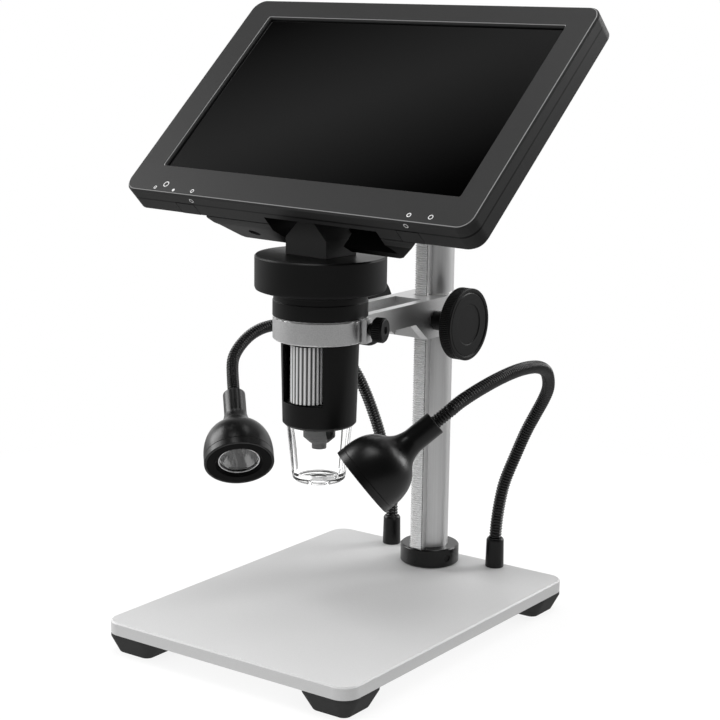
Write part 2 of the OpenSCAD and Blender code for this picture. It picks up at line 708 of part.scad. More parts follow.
// ---------- focus roller and lens carriage ----------
module focus_roller() color("gainsboro") at_roller() {
    translate([0, 0, roller_z0]) linear_extrude(roller_z1 - roller_z0) difference() {
        circle(roller_r);
        for (i = [0:roller_ribs - 1]) rotate(i * 360 / roller_ribs)
            translate([roller_r + 0.25, 0]) circle(0.6, $fn = 16);
    }
    rod(spindle_r, low_plate_z - 1, high_plate_z + plate_disc_t);
    rod(screw_r, light_z + board_t + 0.4, low_plate_z - seat_gap);
}
module lens_carrier() color("dimgray") at_head() rotate(window_dir) difference() {
    union() {
        rod(carrier_r, carrier_z, carrier_z + carrier_t);
        translate([roller_off, 0, 0]) rod(nut_r, carrier_z, carrier_z + nut_h);
    }
    translate([roller_off, 0, 0]) rod(screw_r + running, 0, far);
    for (s = [-1, 1]) translate([0, s * rod_off, 0]) rod(rod_r + running, 0, far);
    rod(3, 0, far);
}
module lens_barrel() color("dimgray") at_head() difference() {
    union() {
        rotate_extrude() polygon([
            [0, lens_z0], [lens_r - 2.6, lens_z0], [lens_r, lens_z0 + 2.4], [lens_r, carrier_z - lens_neck_h],
            [lens_neck_r, carrier_z - lens_neck_h], [lens_neck_r, carrier_z], [0, carrier_z]]);
        rod(lens_boss_r, lens_boss_z0, lens_z0 + eps);
    }
    rod(2.2, lens_boss_z0 - 1, lens_boss_z0 + 1.4);
    rod(1.6, 0, far);
}
module front_lens() color("lightblue") at_head() intersection() {
    rod(2.2, lens_boss_z0, lens_boss_z0 + 1.4);
    translate([0, 0, lens_boss_z0 + 5.3]) sphere(5.2);
}
module sensor_board() color("seagreen") at_head() rotate(window_dir) {
    z = carrier_z + carrier_t;
    block([-10, -6, z], [3.7, 6, z + 0.8]);
    block([-3.2, -3.2, z + 0.8 - eps], [3.2, 3.2, z + 1.3]);
}

// ---------- screen ----------
module case_layer(inset, deep, shallow) translate([case_u, case_v, 0])
    slab(case_w - 2 * inset, case_h - 2 * inset, case_r - inset, -deep, -shallow);
module case_bevel(deep, shallow, inset_deep, inset_shallow) hull() {
    case_layer(inset_deep, deep, deep - eps);
    case_layer(inset_shallow, shallow + eps, shallow);
}
module case_posts() for (u = [-boss_u, boss_u], v = [boss_top, boss_low]) translate([u, v, 0]) children();

module front_bezel() color("dimgray") at_screen() {
    difference() {
        union() {
            case_layer(0, seam_n, front_edge);
            case_bevel(front_edge, 0, 0, front_edge);
        }
        case_layer(shell_wall, seam_n + 1, face_t);
        hull() {
            slab(window_w - window_slope, window_h - window_slope, 0.5, -front_edge, -front_edge + eps);
            slab(window_w, window_h, 1, 0, 1);
        }
        slab(window_w - window_slope, window_h - window_slope, 0.5, -far / 2, far / 2);
    }
    case_posts() difference() {
        rod(boss_r, -seam_n, -face_t + 0.2);
        rod(m2, -seam_n - 1, -face_t - 0.6);
    }
}
module cover_glass() color("black") at_screen() translate([0, 0, -face_t - glass_t]) linear_extrude(glass_t)
    round_rect(window_w + 2 * glass_margin, window_h + 2 * glass_margin, 1);
module lcd_panel() color("black") at_screen() translate([0, lcd_v, -lcd_back]) linear_extrude(lcd_t)
    square([lcd_w, lcd_h], center = true);

// Main board with its parts, the two sockets at its left edge, and a leg down to each key's switch
module main_board() color("seagreen") at_screen() {
    back = pcb_n + pcb_t;
    block([board_u0, board_v0, -back], [board_u1, board_v1, -pcb_n]);
    block([-20, 8, -back - 1.2], [-4, 24, -back + eps]);
    block([6, 12, -back - 1], [16, 20, -back + eps]);
    block([24, 2, -back - 1.6], [38, 10, -back + eps]);
    block([case_left + 0.4, port_v - port_half, -back - port_h], [board_u0, port_v + port_half, -pcb_n]);
    block([case_left + 0.8, card_v - card_half, -back - card_h], [board_u0, card_v + card_half, -pcb_n]);
    for (u = [key_left_u, key_right_u]) {
        block([u - board_leg_w / 2, case_low + 5, -back], [u + board_leg_w / 2, 0, -pcb_n]);
        block([u - 2.5, case_low + shell_wall + key_lip_t + key_travel + 0.5, -back - 1.2],
              [u + 2.5, case_low + 8.5, -back + eps]);
    }
}
module battery_cell() color("steelblue") at_screen() translate([0, cell_v, -cell_n]) rotate([0, 90, 0])
    turned(cell_r, -cell_len / 2, cell_len / 2, 1);

// The hump: its side profile, crossed with its plan, whose two ends slope in
module hump_profile(inset) polygon([
    [case_low + inset, 0], [case_low + inset, -hump_lip_n],
    [hump_bevel_v + inset, -hump_bevel_n + inset / 2],
    [hump_bevel_v + 2 + inset, -hump_n + inset], [hump_top - 20 - inset, -hump_n + inset],
    [hump_top - inset, -case_t + inset / 2], [hump_top - inset, 0]]);
module hump_plan(inset, start) polygon([
    [hump_u0 + inset, start], [hump_u0 + inset, -case_t], [hump_u0 + 3.5 + inset, -case_t - 4],
    [hump_u0 + 6 + inset, -hump_n + 3], [hump_u0 + 9 + inset, -hump_n],
    [hump_u1 - hump_t - 4 - inset, -hump_n], [hump_u1 - hump_t + 2 - inset, -hump_n + 3],
    [hump_u1 - inset, -case_t], [hump_u1 - inset, start]]);
module hump_shape(inset, start) intersection() {
    along_x() translate([0, 0, hump_u0]) linear_extrude(hump_u1 - hump_u0) hump_profile(inset);
    rotate([90, 0, 0]) translate([0, 0, -far / 2]) linear_extrude(far) hump_plan(inset, start);
}
// The pocket under the hump, and the slot through its rear wall that the hinge block swings in
module pocket(wall) {
    block([pocket_u0 - wall, case_low - 1, -pocket_n1 - wall],
          [pocket_u1 + wall, pocket_top + wall, -pocket_n0 + min(wall, pocket_front_wall)]);
    block([-slot_half - wall, case_low - 1, -hump_n - 1],
          [slot_half + wall, pocket_top + wall, -pocket_n0]);
}
module at_hinge_screws() for (s = [-1, 1]) translate([s * hinge_screw_u, pocket_top - flange_t, hinge_n])
    rotate([-90, 0, 0]) children();
module pod_screw_place()
    translate([pod_screw_u, case_low + (pod_screw_n - hump_lip_n) * tan(pod_screw_tilt), -pod_screw_n])
    rotate([-90 + pod_screw_tilt, 0, 0]) children();
module cover_outside() {
    case_layer(0, case_t - 1.5, seam_n);
    case_bevel(case_t, case_t - 1.5, 1.5, 0);
    hump_shape(0, -case_t + shell_wall / 2);
}
module port_cut(v, half, h) block([-case_w, v - half - port_play, -pcb_n - pcb_t - h - 0.3],
                                  [board_u0 - 2, v + half + port_play, -pcb_n + 0.3]);
module rear_cover() color("dimgray") at_screen() difference() {
    union() {
        difference() {
            cover_outside();
            case_layer(shell_wall, case_t - shell_wall, seam_n - 1);
            hump_shape(shell_wall, -case_t + shell_wall + eps);
        }
        intersection() {
            cover_outside();
            union() {
                pocket(shell_wall);
                pod_screw_place() rod(4.2, 1, 12);
                case_posts() rod(boss_r + 0.4, -case_t + 1, -seam_n - eps);
                for (p = board_posts) translate([p[0], p[1], 0]) rod(2, -case_t + 1, -pcb_n - pcb_t);
            }
        }
    }
    pocket(0);
    case_posts() {
        rod(m2 + 0.2, -far, 0);
        rod(2.1, -case_t - 1, -case_t + 2);
    }
    pod_screw_place() {
        rod(m2_5, 0, 11);
        rod(2.6, -5, 5);
    }
    at_hinge_screws() rod(m2_5, flange_t - 1, flange_t + 1.8);
    for (u = [key_left_u, key_right_u])
        block([u - key_w / 2 - key_play, case_low - 1, -key_n1 - key_play],
              [u + key_w / 2 + key_play, case_low + shell_wall + 1, -seam_n + 1]);
    port_cut(port_v, port_half, port_h);
    port_cut(card_v, card_half, card_h);
}
module screen_screws() color("gray") at_screen() {
    case_posts() {
        rod(1.9, -case_t + 0.8, -case_t + 2);
        rod(m2, -case_t + 2 - eps, -face_t - 0.9);
    }
    pod_screw_place() {
        rod(2.3, 3.6, 5);
        rod(m2_5, 5 - eps, 10.5);
    }
    at_hinge_screws() {
        rod(2.2, -1.3, 0);
        rod(m2_5, -eps, flange_t + 1.6);
    }
}
module hinge_bracket() color("gray") at_screen() difference() {
    union() {
        block([-flange_half, pocket_top - flange_t, hinge_n - 8], [flange_half, pocket_top, hinge_n + 7.5]);
        for (s = [-1, 1]) translate([s * (tongue_w / 2 + ear_gap + ear_t / 2), 0, hinge_n]) {
            translate([0, hinge_v, 0]) rotate([0, 90, 0]) rod(ear_round, -ear_t / 2, ear_t / 2);
            block([-ear_t / 2, hinge_v, -ear_round],
                  [ear_t / 2, pocket_top - flange_t + eps, ear_round]);
        }
    }
    translate([0, hinge_v, hinge_n]) rotate([0, 90, 0]) rod(pin_r, -far, far);
    at_hinge_screws() rod(m2_5, -2, flange_t + 2);
}
module hinge_pin() color("silver") at_screen() translate([0, hinge_v, hinge_n]) rotate([0, 90, 0]) {
    rod(pin_r, -pin_len / 2, pin_len / 2);
    for (s = [0, 180]) rotate([s, 0, 0]) rod(pin_head_r, pin_len / 2 - 1.4, pin_len / 2);
}

// A key: a cap flush in the lower edge, a lip behind the wall that keeps it in
module edge_key(u) color("gray") at_screen() {
    block([u - key_w / 2, case_low, -key_n1], [u + key_w / 2, case_low + shell_wall + 0.2, -key_n0]);
    block([u - key_w / 2 - key_lip, case_low + shell_wall + 0.1, -case_t + shell_wall + loose],
          [u + key_w / 2 + key_lip, case_low + shell_wall + key_lip_t, -key_n0 - 0.2]);
}
module power_key() edge_key(key_left_u);
module capture_key() edge_key(key_right_u);

// ---------- gooseneck lamps ----------
function curve(p, i, t) = let (
        a = p[max(i - 1, 0)], b = p[i], c = p[i + 1], d = p[min(i + 2, len(p) - 1)])
    0.5 * (2 * b + (c - a) * t + (2 * a - 5 * b + 4 * c - d) * t * t + (3 * b - a - 3 * c + d) * t * t * t);
function unit(v) = v / norm(v);
steps = 2;
function smooth(p) = [for (i = [0:len(p) - 2], k = [0:steps - 1]) curve(p, i, k / steps), p[len(p) - 1]];
function sweep_rings(path, r, sides) = [for (i = [0:len(path) - 1]) let (
        d = unit(path[min(i + 1, len(path) - 1)] - path[max(i - 1, 0)]),
        e = unit(cross(d, [1, 0.3, 0])),
        f = cross(d, e))
    for (k = [0:sides - 1]) path[i] + r * (cos(k * 360 / sides) * e + sin(k * 360 / sides) * f)];
module tube(path, r, sides) polyhedron(
    points = sweep_rings(path, r, sides),
    faces = concat(
        [[for (k = [0:sides - 1]) k]],
        [for (i = [0:len(path) - 2], k = [0:sides - 1]) let (a = i * sides, n = (k + 1) % sides)
            each [[a + k, a + sides + k, a + sides + n], [a + k, a + sides + n, a + n]]],
        [[for (k = [sides - 1:-1:0]) (len(path) - 1) * sides + k]]));
// Unit vector from a lamp's rim back along its sleeve
function lamp_back(azimuth) =
    [-cos(lamp_droop) * cos(azimuth), -cos(lamp_droop) * sin(azimuth), sin(lamp_droop)];
function neck_path(route, end, azimuth) = concat(
    [[0, 0, socket_h - socket_bore_depth + 0.2]],
    smooth(concat([[0, 0, socket_h]], [for (i = [1:len(route) - 1]) route[i]],
                  [end + neck_end_out * lamp_back(azimuth)])),
    [end + (tip_out + tip_gap) * lamp_back(azimuth)]);

module neck(side, route, end, azimuth) color("dimgray") at_socket(side)
    tube(neck_path(route, end, azimuth), neck_r, 10);
module neck_left() neck(-1, route_left, end_left, azimuth_left);
module neck_right() neck(1, route_right, end_right, azimuth_right);

// Lamp parts are drawn with the sleeve's end at the origin and the light shining along -Z
module neck_tip() color("dimgray") rod(neck_r, -sleeve_depth + 0.2, tip_out);
module neck_tip_left() at_lamp(-1, end_left, azimuth_left) neck_tip();
module neck_tip_right() at_lamp(1, end_right, azimuth_right) neck_tip();

function bezier(a, b, c, d, t) =
    pow(1 - t, 3) * a + 3 * pow(1 - t, 2) * t * b + 3 * (1 - t) * t * t * c + t * t * t * d;
rim_h = 3.4;
shoulder_r = sleeve_r + 4.5;
shoulder_z = 18 - lamp_len;
face_r = lamp_r - 1.1;
face_t_lamp = 2;
opening_r = 9.6;
bulb_z = 11.6;
bulb_r = lamp_r - 2.4;
lamp_lens_z = -lamp_len + face_t_lamp;
lamp_lens_t = 1.2;
module bell_outline() polygon(concat(
    [[0, -lamp_len], [lamp_r, -lamp_len]],
    [for (k = [0:10]) bezier([lamp_r, rim_h - lamp_len], [lamp_r + 0.2, 9.5 - lamp_len],
                             [lamp_r - 1.5, 15 - lamp_len], [shoulder_r, shoulder_z], k / 10)],
    [for (k = [1:6]) bezier([shoulder_r, shoulder_z], [sleeve_r + 1.8, 20 - lamp_len],
                            [sleeve_r + 0.7, 21.6 - lamp_len], [sleeve_r, 26 - lamp_len], k / 6)],
    [[sleeve_r, -0.5], [sleeve_r - 0.5, 0], [0, 0]]));
module lamp_shell() color("dimgray") difference() {
    rotate_extrude() bell_outline();
    rod(face_r, -lamp_len - 1, -lamp_len + face_t_lamp);
    rod(bulb_r, -lamp_len - 1, -lamp_len + bulb_z);
    rod(neck_r + 0.15, -sleeve_depth, 1);
    rod(1.4, -lamp_len, 1);
}
module lamp_face() color("black") ring(face_r, opening_r, -lamp_len, -lamp_len + face_t_lamp);
module lamp_lens() color("aliceblue", 0.5) rod(opening_r + 1.4, lamp_lens_z, lamp_lens_z + lamp_lens_t);
// Reflector bowl on its LED board
module lamp_reflector() color("gainsboro") {
    z0 = lamp_lens_z + lamp_lens_t;
    z1 = -lamp_len + bulb_z - board_t;
    rotate_extrude() polygon([[opening_r + 1.8, z0], [opening_r + 1.8, z0 + 0.8], [opening_r - 0.6, z0 + 0.9],
                              [4.2, z1], [2.4, z1], [opening_r - 1.4, z0]]);
    rod(opening_r + 1, z1, z1 + board_t);
    block([-1.6, -1.6, z1 - 0.9], [1.6, 1.6, z1 + eps]);
}
module lamp_shell_left() at_lamp(-1, end_left, azimuth_left) lamp_shell();
module lamp_face_left() at_lamp(-1, end_left, azimuth_left) lamp_face();
module lamp_lens_left() at_lamp(-1, end_left, azimuth_left) lamp_lens();
module lamp_reflector_left() at_lamp(-1, end_left, azimuth_left) lamp_reflector();
module lamp_shell_right() at_lamp(1, end_right, azimuth_right) lamp_shell();
module lamp_face_right() at_lamp(1, end_right, azimuth_right) lamp_face();
module lamp_lens_right() at_lamp(1, end_right, azimuth_right) lamp_lens();
module lamp_reflector_right() at_lamp(1, end_right, azimuth_right) lamp_reflector();

base_plate();
feet();
foot_screws();
column();
gear_rack();
column_collar();
collar_screw();
column_bolt();
column_cap();
lamp_socket_left();
lamp_socket_right();
socket_nuts();
bracket();
column_liner();
pinion_bushes();
pinion_shaft();
focus_knob_left();
focus_knob_right();
knob_screws();
clamp_screw();
barrel_shell();
head_collar();
head_drum();
drum_plate();
head_screws();
hinge_block();
roller_plates();
guide_rods();
light_board();
light_cup();
head_board();
focus_roller();
lens_carrier();
lens_barrel();
front_lens();
sensor_board();
front_bezel();
cover_glass();
lcd_panel();
main_board();
battery_cell();
rear_cover();
screen_screws();
hinge_bracket();
hinge_pin();
power_key();
capture_key();
neck_left();
neck_tip_left();
lamp_shell_left();
lamp_face_left();
lamp_reflector_left();
lamp_lens_left();
neck_right();
neck_tip_right();
lamp_shell_right();
lamp_face_right();
lamp_reflector_right();
lamp_lens_right();
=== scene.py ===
"""Looks of a desktop digital microscope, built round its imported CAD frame.

Blender works in metres. MM and UM turn lengths in millimetres and micrometres into metres.
"""
import json
import math

import bmesh
import bpy
from mathutils import Matrix, Vector


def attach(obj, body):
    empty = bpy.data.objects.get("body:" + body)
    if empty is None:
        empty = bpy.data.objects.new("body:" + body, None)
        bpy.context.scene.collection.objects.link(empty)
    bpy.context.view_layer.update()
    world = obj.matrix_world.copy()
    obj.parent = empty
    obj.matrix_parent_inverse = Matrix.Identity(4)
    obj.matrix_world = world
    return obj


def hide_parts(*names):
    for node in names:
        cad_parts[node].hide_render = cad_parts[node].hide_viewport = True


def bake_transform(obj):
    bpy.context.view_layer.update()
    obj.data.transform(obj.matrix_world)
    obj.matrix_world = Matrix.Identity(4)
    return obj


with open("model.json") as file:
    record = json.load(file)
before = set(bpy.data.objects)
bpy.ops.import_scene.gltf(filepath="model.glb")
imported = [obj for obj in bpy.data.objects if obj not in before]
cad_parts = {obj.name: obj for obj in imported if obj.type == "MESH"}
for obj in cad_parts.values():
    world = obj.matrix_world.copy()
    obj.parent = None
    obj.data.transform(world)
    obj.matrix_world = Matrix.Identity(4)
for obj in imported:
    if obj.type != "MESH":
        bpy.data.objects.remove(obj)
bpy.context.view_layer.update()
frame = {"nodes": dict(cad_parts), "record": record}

MM = 0.001
UM = 0.001 * MM
nodes = frame["nodes"]
slots = {part["node"]: part["material_slot"] for part in frame["record"]["subparts"]}
bodies = {node: body for body, group in frame["record"]["behaviour"]["bodies"].items() for node in group}


def added(name, data):
    """A new object in the scene."""
    made = bpy.data.objects.new(name, data)
    bpy.context.scene.collection.objects.link(made)
    return made


def mesh_of(name, work):
    """A mesh from a bmesh, which is used up."""
    mesh = bpy.data.meshes.new(name)
    work.to_mesh(mesh)
    work.free()
    return mesh


# ---------- camera ----------
EYE = Vector((0.41805, -0.57671, 0.26450))
VIEW_RIGHT = Vector((0.81236, 0.58300, 0.01349))
VIEW_UP = Vector((-0.12996, 0.15844, 0.97878))
LENS_MM = 89.08
SENSOR_MM = 36.0


def make_camera():
    """A camera at the part's main view."""
    data = bpy.data.cameras.new("view")
    data.lens = LENS_MM
    data.sensor_width = SENSOR_MM
    camera = added("view", data)
    back = VIEW_RIGHT.cross(VIEW_UP).normalized()
    facing = Matrix((VIEW_RIGHT, VIEW_UP, back)).transposed()
    camera.matrix_world = Matrix.Translation(EYE) @ facing.to_4x4()
    bpy.context.scene.camera = camera


make_camera()


# ---------- node graphs ----------
class Value:
    """An output socket. Operators on it add Math nodes to its graph."""

    def __init__(self, graph, socket):
        self.graph, self.socket = graph, socket

    def math(self, operation, *others):
        return self.graph.math(operation, self, *others)

    def __add__(self, other):
        return self.math("ADD", other)

    def __radd__(self, other):
        return self.math("ADD", other)

    def __sub__(self, other):
        return self.math("SUBTRACT", other)

    def __rsub__(self, other):
        return self.graph.math("SUBTRACT", other, self)

    def __mul__(self, other):
        return self.math("MULTIPLY", other)

    def __rmul__(self, other):
        return self.math("MULTIPLY", other)

    def __truediv__(self, other):
        return self.math("DIVIDE", other)

    def __pow__(self, other):
        return self.math("POWER", other)

    def __abs__(self):
        return self.math("ABSOLUTE")

    def clamped(self):
        """Kept between 0 and 1."""
        return self.math("MAXIMUM", 0.0).math("MINIMUM", 1.0)


class Graph:
    """A node tree with one method that makes any node."""

    def __init__(self, tree):
        self.tree = tree

    def node(self, kind, settings=None, values=None, out=0):
        made = self.tree.nodes.new(kind)
        for key, setting in (settings or {}).items():
            setattr(made, key, setting)
        for key, value in (values or {}).items():
            if isinstance(value, Value):
                self.tree.links.new(value.socket, made.inputs[key])
            else:
                made.inputs[key].default_value = value
        return Value(self, made.outputs[out])

    def math(self, operation, *values):
        return self.node("ShaderNodeMath", {"operation": operation}, dict(enumerate(values)))

    def measure(self, operation, *vectors):
        """A number worked out from vectors, such as a length."""
        return self.node("ShaderNodeVectorMath", {"operation": operation}, dict(enumerate(vectors)),
                         "Value")

    def mix(self, factor, first, second):
        return self.node("ShaderNodeMix", {"data_type": "RGBA"}, {0: factor, 6: first, 7: second}, 2)

    def position(self, shift=(0, 0, 0), scale=(1, 1, 1)):
        place = self.node("ShaderNodeTexCoord", out="Object")
        return self.node("ShaderNodeMapping", values={"Vector": place, "Location": shift, "Scale": scale})

    def parts(self, vector):
        split = self.node("ShaderNodeSeparateXYZ", values={0: vector})
        return [Value(self, socket) for socket in split.socket.node.outputs]

    def noise(self, vector, scale, detail=2.0, roughness=0.5):
        return self.node("ShaderNodeTexNoise", values={
            "Vector": vector, "Scale": scale, "Detail": detail, "Roughness": roughness})


def grey(level):
    return (level, level, level, 1.0)


def from_axis(x, y):
    """The distance from an axis, given the two coordinates across it."""
    return (x ** 2 + y ** 2) ** 0.5


class Finish(Graph):
    """A material with a Principled shader; its constants are set on the shader's own sockets."""

    def __init__(self, name, **constants):
        self.material = bpy.data.materials.new(name)
        self.material.use_nodes = True
        super().__init__(self.material.node_tree)
        self.shader = self.tree.nodes["Principled BSDF"]
        self.set(**constants)

    def set(self, **sockets):
        for key, value in sockets.items():
            socket = self.shader.inputs[key.replace("_", " ")]
            if isinstance(value, Value):
                self.tree.links.new(value.socket, socket)
            else:
                socket.default_value = value

    def bump(self, height, depth):
        self.set(Normal=self.node("ShaderNodeBump", values={
            "Height": height, "Distance": depth, "Strength": 1.0}))


def tone(finish, factor, low, high):
    """A grey between two levels."""
    return finish.mix(factor, grey(low), grey(high))


def blasted(name, low, high, rough, metallic):
    """Bead-blasted aluminium: fine dimples with a soft mottle."""
    finish = Finish(name, Metallic=metallic)
    place = finish.position()
    grain = finish.noise(place, 2300, 3, 0.7)
    mottle = finish.noise(place, 45)
    finish.set(Base_Color=tone(finish, grain * 0.8 + mottle * 0.2, low, high),
               Roughness=rough - 0.08 + 0.16 * mottle)
    finish.bump(grain, 12 * UM)
    return finish.material


# How far the painted highlight on a ring's edges reaches in and along, in mm
RIM_INWARDS = 0.6
RIM_FADE = 0.4
RIM_GAIN = 1.3


def rim_highlight_mask(finish, axis, radius, heights):
    """Where the painted highlight lies on a ring's outer edges, 1 on them and 0 elsewhere. All in mm."""
    x, y, z = finish.parts(finish.position(shift=(-axis[0] * MM, -axis[1] * MM, 0)))
    near = abs(from_axis(x, y) - radius * MM).math("LESS_THAN", RIM_INWARDS * MM)
    low, high = [(RIM_GAIN - abs(z - height * MM) / (RIM_FADE * MM)).math("MAXIMUM", 0.0)
                 for height in heights]
    return (low + high).math("MINIMUM", 1.0) * near


def rim_highlighted(name, low, high, rough, metallic, axis, radius, heights):
    """Blasted aluminium, with a painted highlight along the two outer edges of a ring."""
    finish = Finish(name)
    place = finish.position()
    grain = finish.noise(place, 2000, 3, 0.75)
    mottle = finish.noise(place, 45)
    rim = rim_highlight_mask(finish, axis, radius, heights)
    body = tone(finish, grain * 0.85 + mottle * 0.15, low, high)
    # Painted highlight: the ring's edges are painted near white and made less metallic
    finish.set(Base_Color=finish.mix(rim, body, grey(0.97)), Metallic=metallic - 0.65 * rim,
               Roughness=rough - 0.08 + 0.16 * mottle)
    finish.bump(grain, 30 * UM)
    return finish.material


def drawn(name, low, high, rough, metallic):
    """Drawn steel or aluminium tube, with fine streaks along its height."""
    finish = Finish(name, Metallic=metallic)
    streaks = finish.noise(finish.position(scale=(1, 1, 0.004)), 1500, 3, 0.6)
    smears = finish.noise(finish.position(scale=(1, 1, 0.03)), 160)
    finish.set(Base_Color=tone(finish, streaks, low, high), Roughness=rough + 0.12 * smears)
    finish.bump(streaks, 6 * UM)
    return finish.material


def steel(name, low, high, rough):
    """Bright machined steel with faint handling marks."""
    finish = Finish(name, Metallic=1.0)
    marks = finish.noise(finish.position(), 420, 4, 0.7)
    finish.set(Base_Color=tone(finish, marks, low, high), Roughness=rough + 0.16 * marks)
    finish.bump(marks, 4 * UM)
    return finish.material


def satin_black(name, level, rough, shine):
    """Anodised or lacquered black metal, with a fine tooth and a few dull patches."""
    finish = Finish(name, Specular_IOR_Level=shine)
    place = finish.position()
    grain = finish.noise(place, 1800, 3, 0.6)
    patches = finish.noise(place, 70)
    finish.set(Base_Color=tone(finish, patches, 0.8 * level, 1.25 * level),
               Roughness=rough - 0.05 + 0.1 * patches)
    finish.bump(grain, 8 * UM)
    return finish.material


def turned_black(name, level, rough, pitch):
    """Black turned aluminium. The cutter's rings run round the pinion's axis, which lies along X."""
    finish = Finish(name, Specular_IOR_Level=0.22)
    x, y, z = finish.parts(finish.position(shift=(0, -PINION_AT[1] * MM, -PINION_AT[2] * MM)))
    rings = (from_axis(y, z) * (2 * math.pi / (pitch * MM))).math("SINE")
    grain = finish.noise(finish.position(), 1500, 2)
    finish.set(Base_Color=tone(finish, grain, 0.85 * level, 1.2 * level), Roughness=rough + 0.06 * grain)
    finish.bump(rings, 2.5 * UM)
    return finish.material


# The painted highlight along the edge lies this far behind the case's front, in mm
EDGE_HIGHLIGHT_BACK = 0.2
EDGE_HIGHLIGHT_HALF = 0.18
# Half the width of the painted shade in the seam, in mm
SEAM_SHADE_HALF = 0.4


def moulded(name, level, rough, front, seam):
    """Spark-textured black case plastic, with a painted highlight along its front edge and painted shade in
    the seam behind it.
    """
    finish = Finish(name, Specular_IOR_Level=0.16)
    place = finish.position()
    grain = finish.noise(place, 2700, 2, 0.5)
    cloud = finish.noise(place, 22)
    normal, offset = front.col[2].to_3d(), front.translation.dot(front.col[2].to_3d())
    ahead = finish.measure("DOT_PRODUCT", place, normal) - offset
    # Painted highlight: a grey band along the front edge, which is also smoother there
    edge_highlight = (1 - abs(ahead + EDGE_HIGHLIGHT_BACK * MM) / (EDGE_HIGHLIGHT_HALF * MM)).math("MAXIMUM", 0.0)
    # Painted shade: near black in the seam between the front and rear shells
    seam_shade = (1 - abs(ahead + seam * MM) / (SEAM_SHADE_HALF * MM)).math("GREATER_THAN", 0.0)
    spread = grain * 0.7 + cloud * 0.3
    body = tone(finish, spread, 0.7 * level, 1.35 * level)
    edge = finish.mix(edge_highlight, body, grey(0.45))
    finish.set(Base_Color=finish.mix(seam_shade, edge, grey(0.0006)),
               Roughness=rough - 0.04 + 0.08 * grain - 0.12 * edge_highlight)
    finish.bump(grain, 20 * UM)
    return finish.material


def rubber(name, level):
    """Dull black rubber."""
    finish = Finish(name, Specular_IOR_Level=0.35)
    place = finish.position()
    grain = finish.noise(place, 900, 4, 0.6)
    finish.set(Base_Color=tone(finish, grain, 0.7 * level, 1.4 * level), Roughness=0.62 + 0.2 * grain)
    finish.bump(grain, 20 * UM)
    return finish.material


def display_glass(name):
    """The dark glass over the switched-off display, with a faint smear."""
    finish = Finish(name, IOR=1.5)
    smear = finish.noise(finish.position(), 14, 3)
    finish.set(Base_Color=tone(finish, smear, 0.0004, 0.0008), Roughness=0.05 + 0.03 * smear)
    return finish.material


def clear(name, rough, level, ior):
    """Clear plastic or glass, with a faint flow in it."""
    finish = Finish(name, Transmission_Weight=1.0, IOR=ior)
    flow = finish.noise(finish.position(), 120, 2)
    finish.set(Base_Color=tone(finish, flow, level - 0.02, level),
               Roughness=rough * 0.8 + 0.4 * rough * flow)
    return finish.material


def board(name):
    """A circuit board: solder mask with darker tracks."""
    finish = Finish(name)
    cells = finish.node("ShaderNodeTexVoronoi", {"distance": "CHEBYCHEV"},
                        {"Vector": finish.position(), "Scale": 420.0})
    mask = cells.math("GREATER_THAN", 0.42)
    finish.set(Base_Color=finish.mix(mask, (0.012, 0.09, 0.035, 1), (0.02, 0.16, 0.06, 1)),
               Roughness=0.35 + 0.3 * cells)
    finish.bump(cells, 20 * UM)
    return finish.material


def wrapped_cell(name):
    """The battery's shrink sleeve."""
    finish = Finish(name)
    wrinkle = finish.noise(finish.position(scale=(0.3, 1, 1)), 260, 3)
    finish.set(Base_Color=finish.mix(wrinkle, (0.02, 0.1, 0.3, 1), (0.03, 0.14, 0.38, 1)),
               Roughness=0.3 + 0.2 * wrinkle)
    finish.bump(wrinkle, 20 * UM)
    return finish.material


def tinted(name, first, second, rough, scale, metallic=0.0):
    """A plain material, clouded between two colours."""
    finish = Finish(name, Metallic=metallic)
    cloud = finish.noise(finish.position(), scale, 3)
    finish.set(Base_Color=finish.mix(cloud, first, second), Roughness=rough + 0.1 * cloud)
    finish.bump(cloud, 6 * UM)
    return finish.material


def groove_shaded_ribs(name, centre, valley, crest):
    """Bright turned ribs, dull in the grooves between them and painted dark there as shade, by distance
    from an upright axis.
    """
    finish = Finish(name, Metallic=0.35)
    x, y, z = finish.parts(finish.position(shift=(-centre[0] * MM, -centre[1] * MM, 0)))
    height = ((from_axis(x, y) - valley * MM) / ((crest - valley) * MM)).clamped()
    marks = finish.noise(finish.position(), 420, 4, 0.7)
    # Painted shade: near black at the grooves' bottoms, bright on the crests
    finish.set(Base_Color=tone(finish, height, 0.03, 0.98), Roughness=0.5 - 0.16 * height + 0.1 * marks)
    finish.bump(marks, 4 * UM)
    return finish.material


# ---------- places ----------
def moved(x, y, z):
    return Matrix.Translation(Vector((x, y, z)) * MM)


def turn(degrees, axis):
    return Matrix.Rotation(math.radians(degrees), 4, axis)


# Places on the part, in mm and degrees
STAGE_Z = 13.6
HEAD_Y = -18.3
RING_R = 19
RING_EDGES = (127.5, 137.0)
PINION_AT = (0, 49.488, 126.5)
RACK_ROOT_Y = 54.3
ROLLER_AT = (0.4, -25.89)
ROLLER_VALLEY = 7.15
ROLLER_CREST = 7.5
BEZEL_DEPTH = 5.3
RING = moved(0, HEAD_Y, STAGE_Z)
HEAD = RING @ turn(-5, "Z")
COLUMN = moved(0, 65, STAGE_Z)
PINION = moved(*PINION_AT) @ turn(90, "Y")
CLAMP = RING @ turn(12, "Z") @ moved(0, 0, 119.45) @ turn(90, "Y")
HINGE = HEAD @ moved(0, 0, 166.5) @ turn(43.5, "X")
SCREEN = HINGE @ moved(0, 43.1, 16.5)
SOCKETS = {"left": (-27.8, 75.4, STAGE_Z), "right": (27.8, 75.4, STAGE_Z)}
LAMP_ENDS = {"left": (-41.0, -64.4, 75.7), "right": (22.75, -85.85, 85.6)}
LAMP_TURNS = {"left": -46, "right": -135}
DROOP = 39
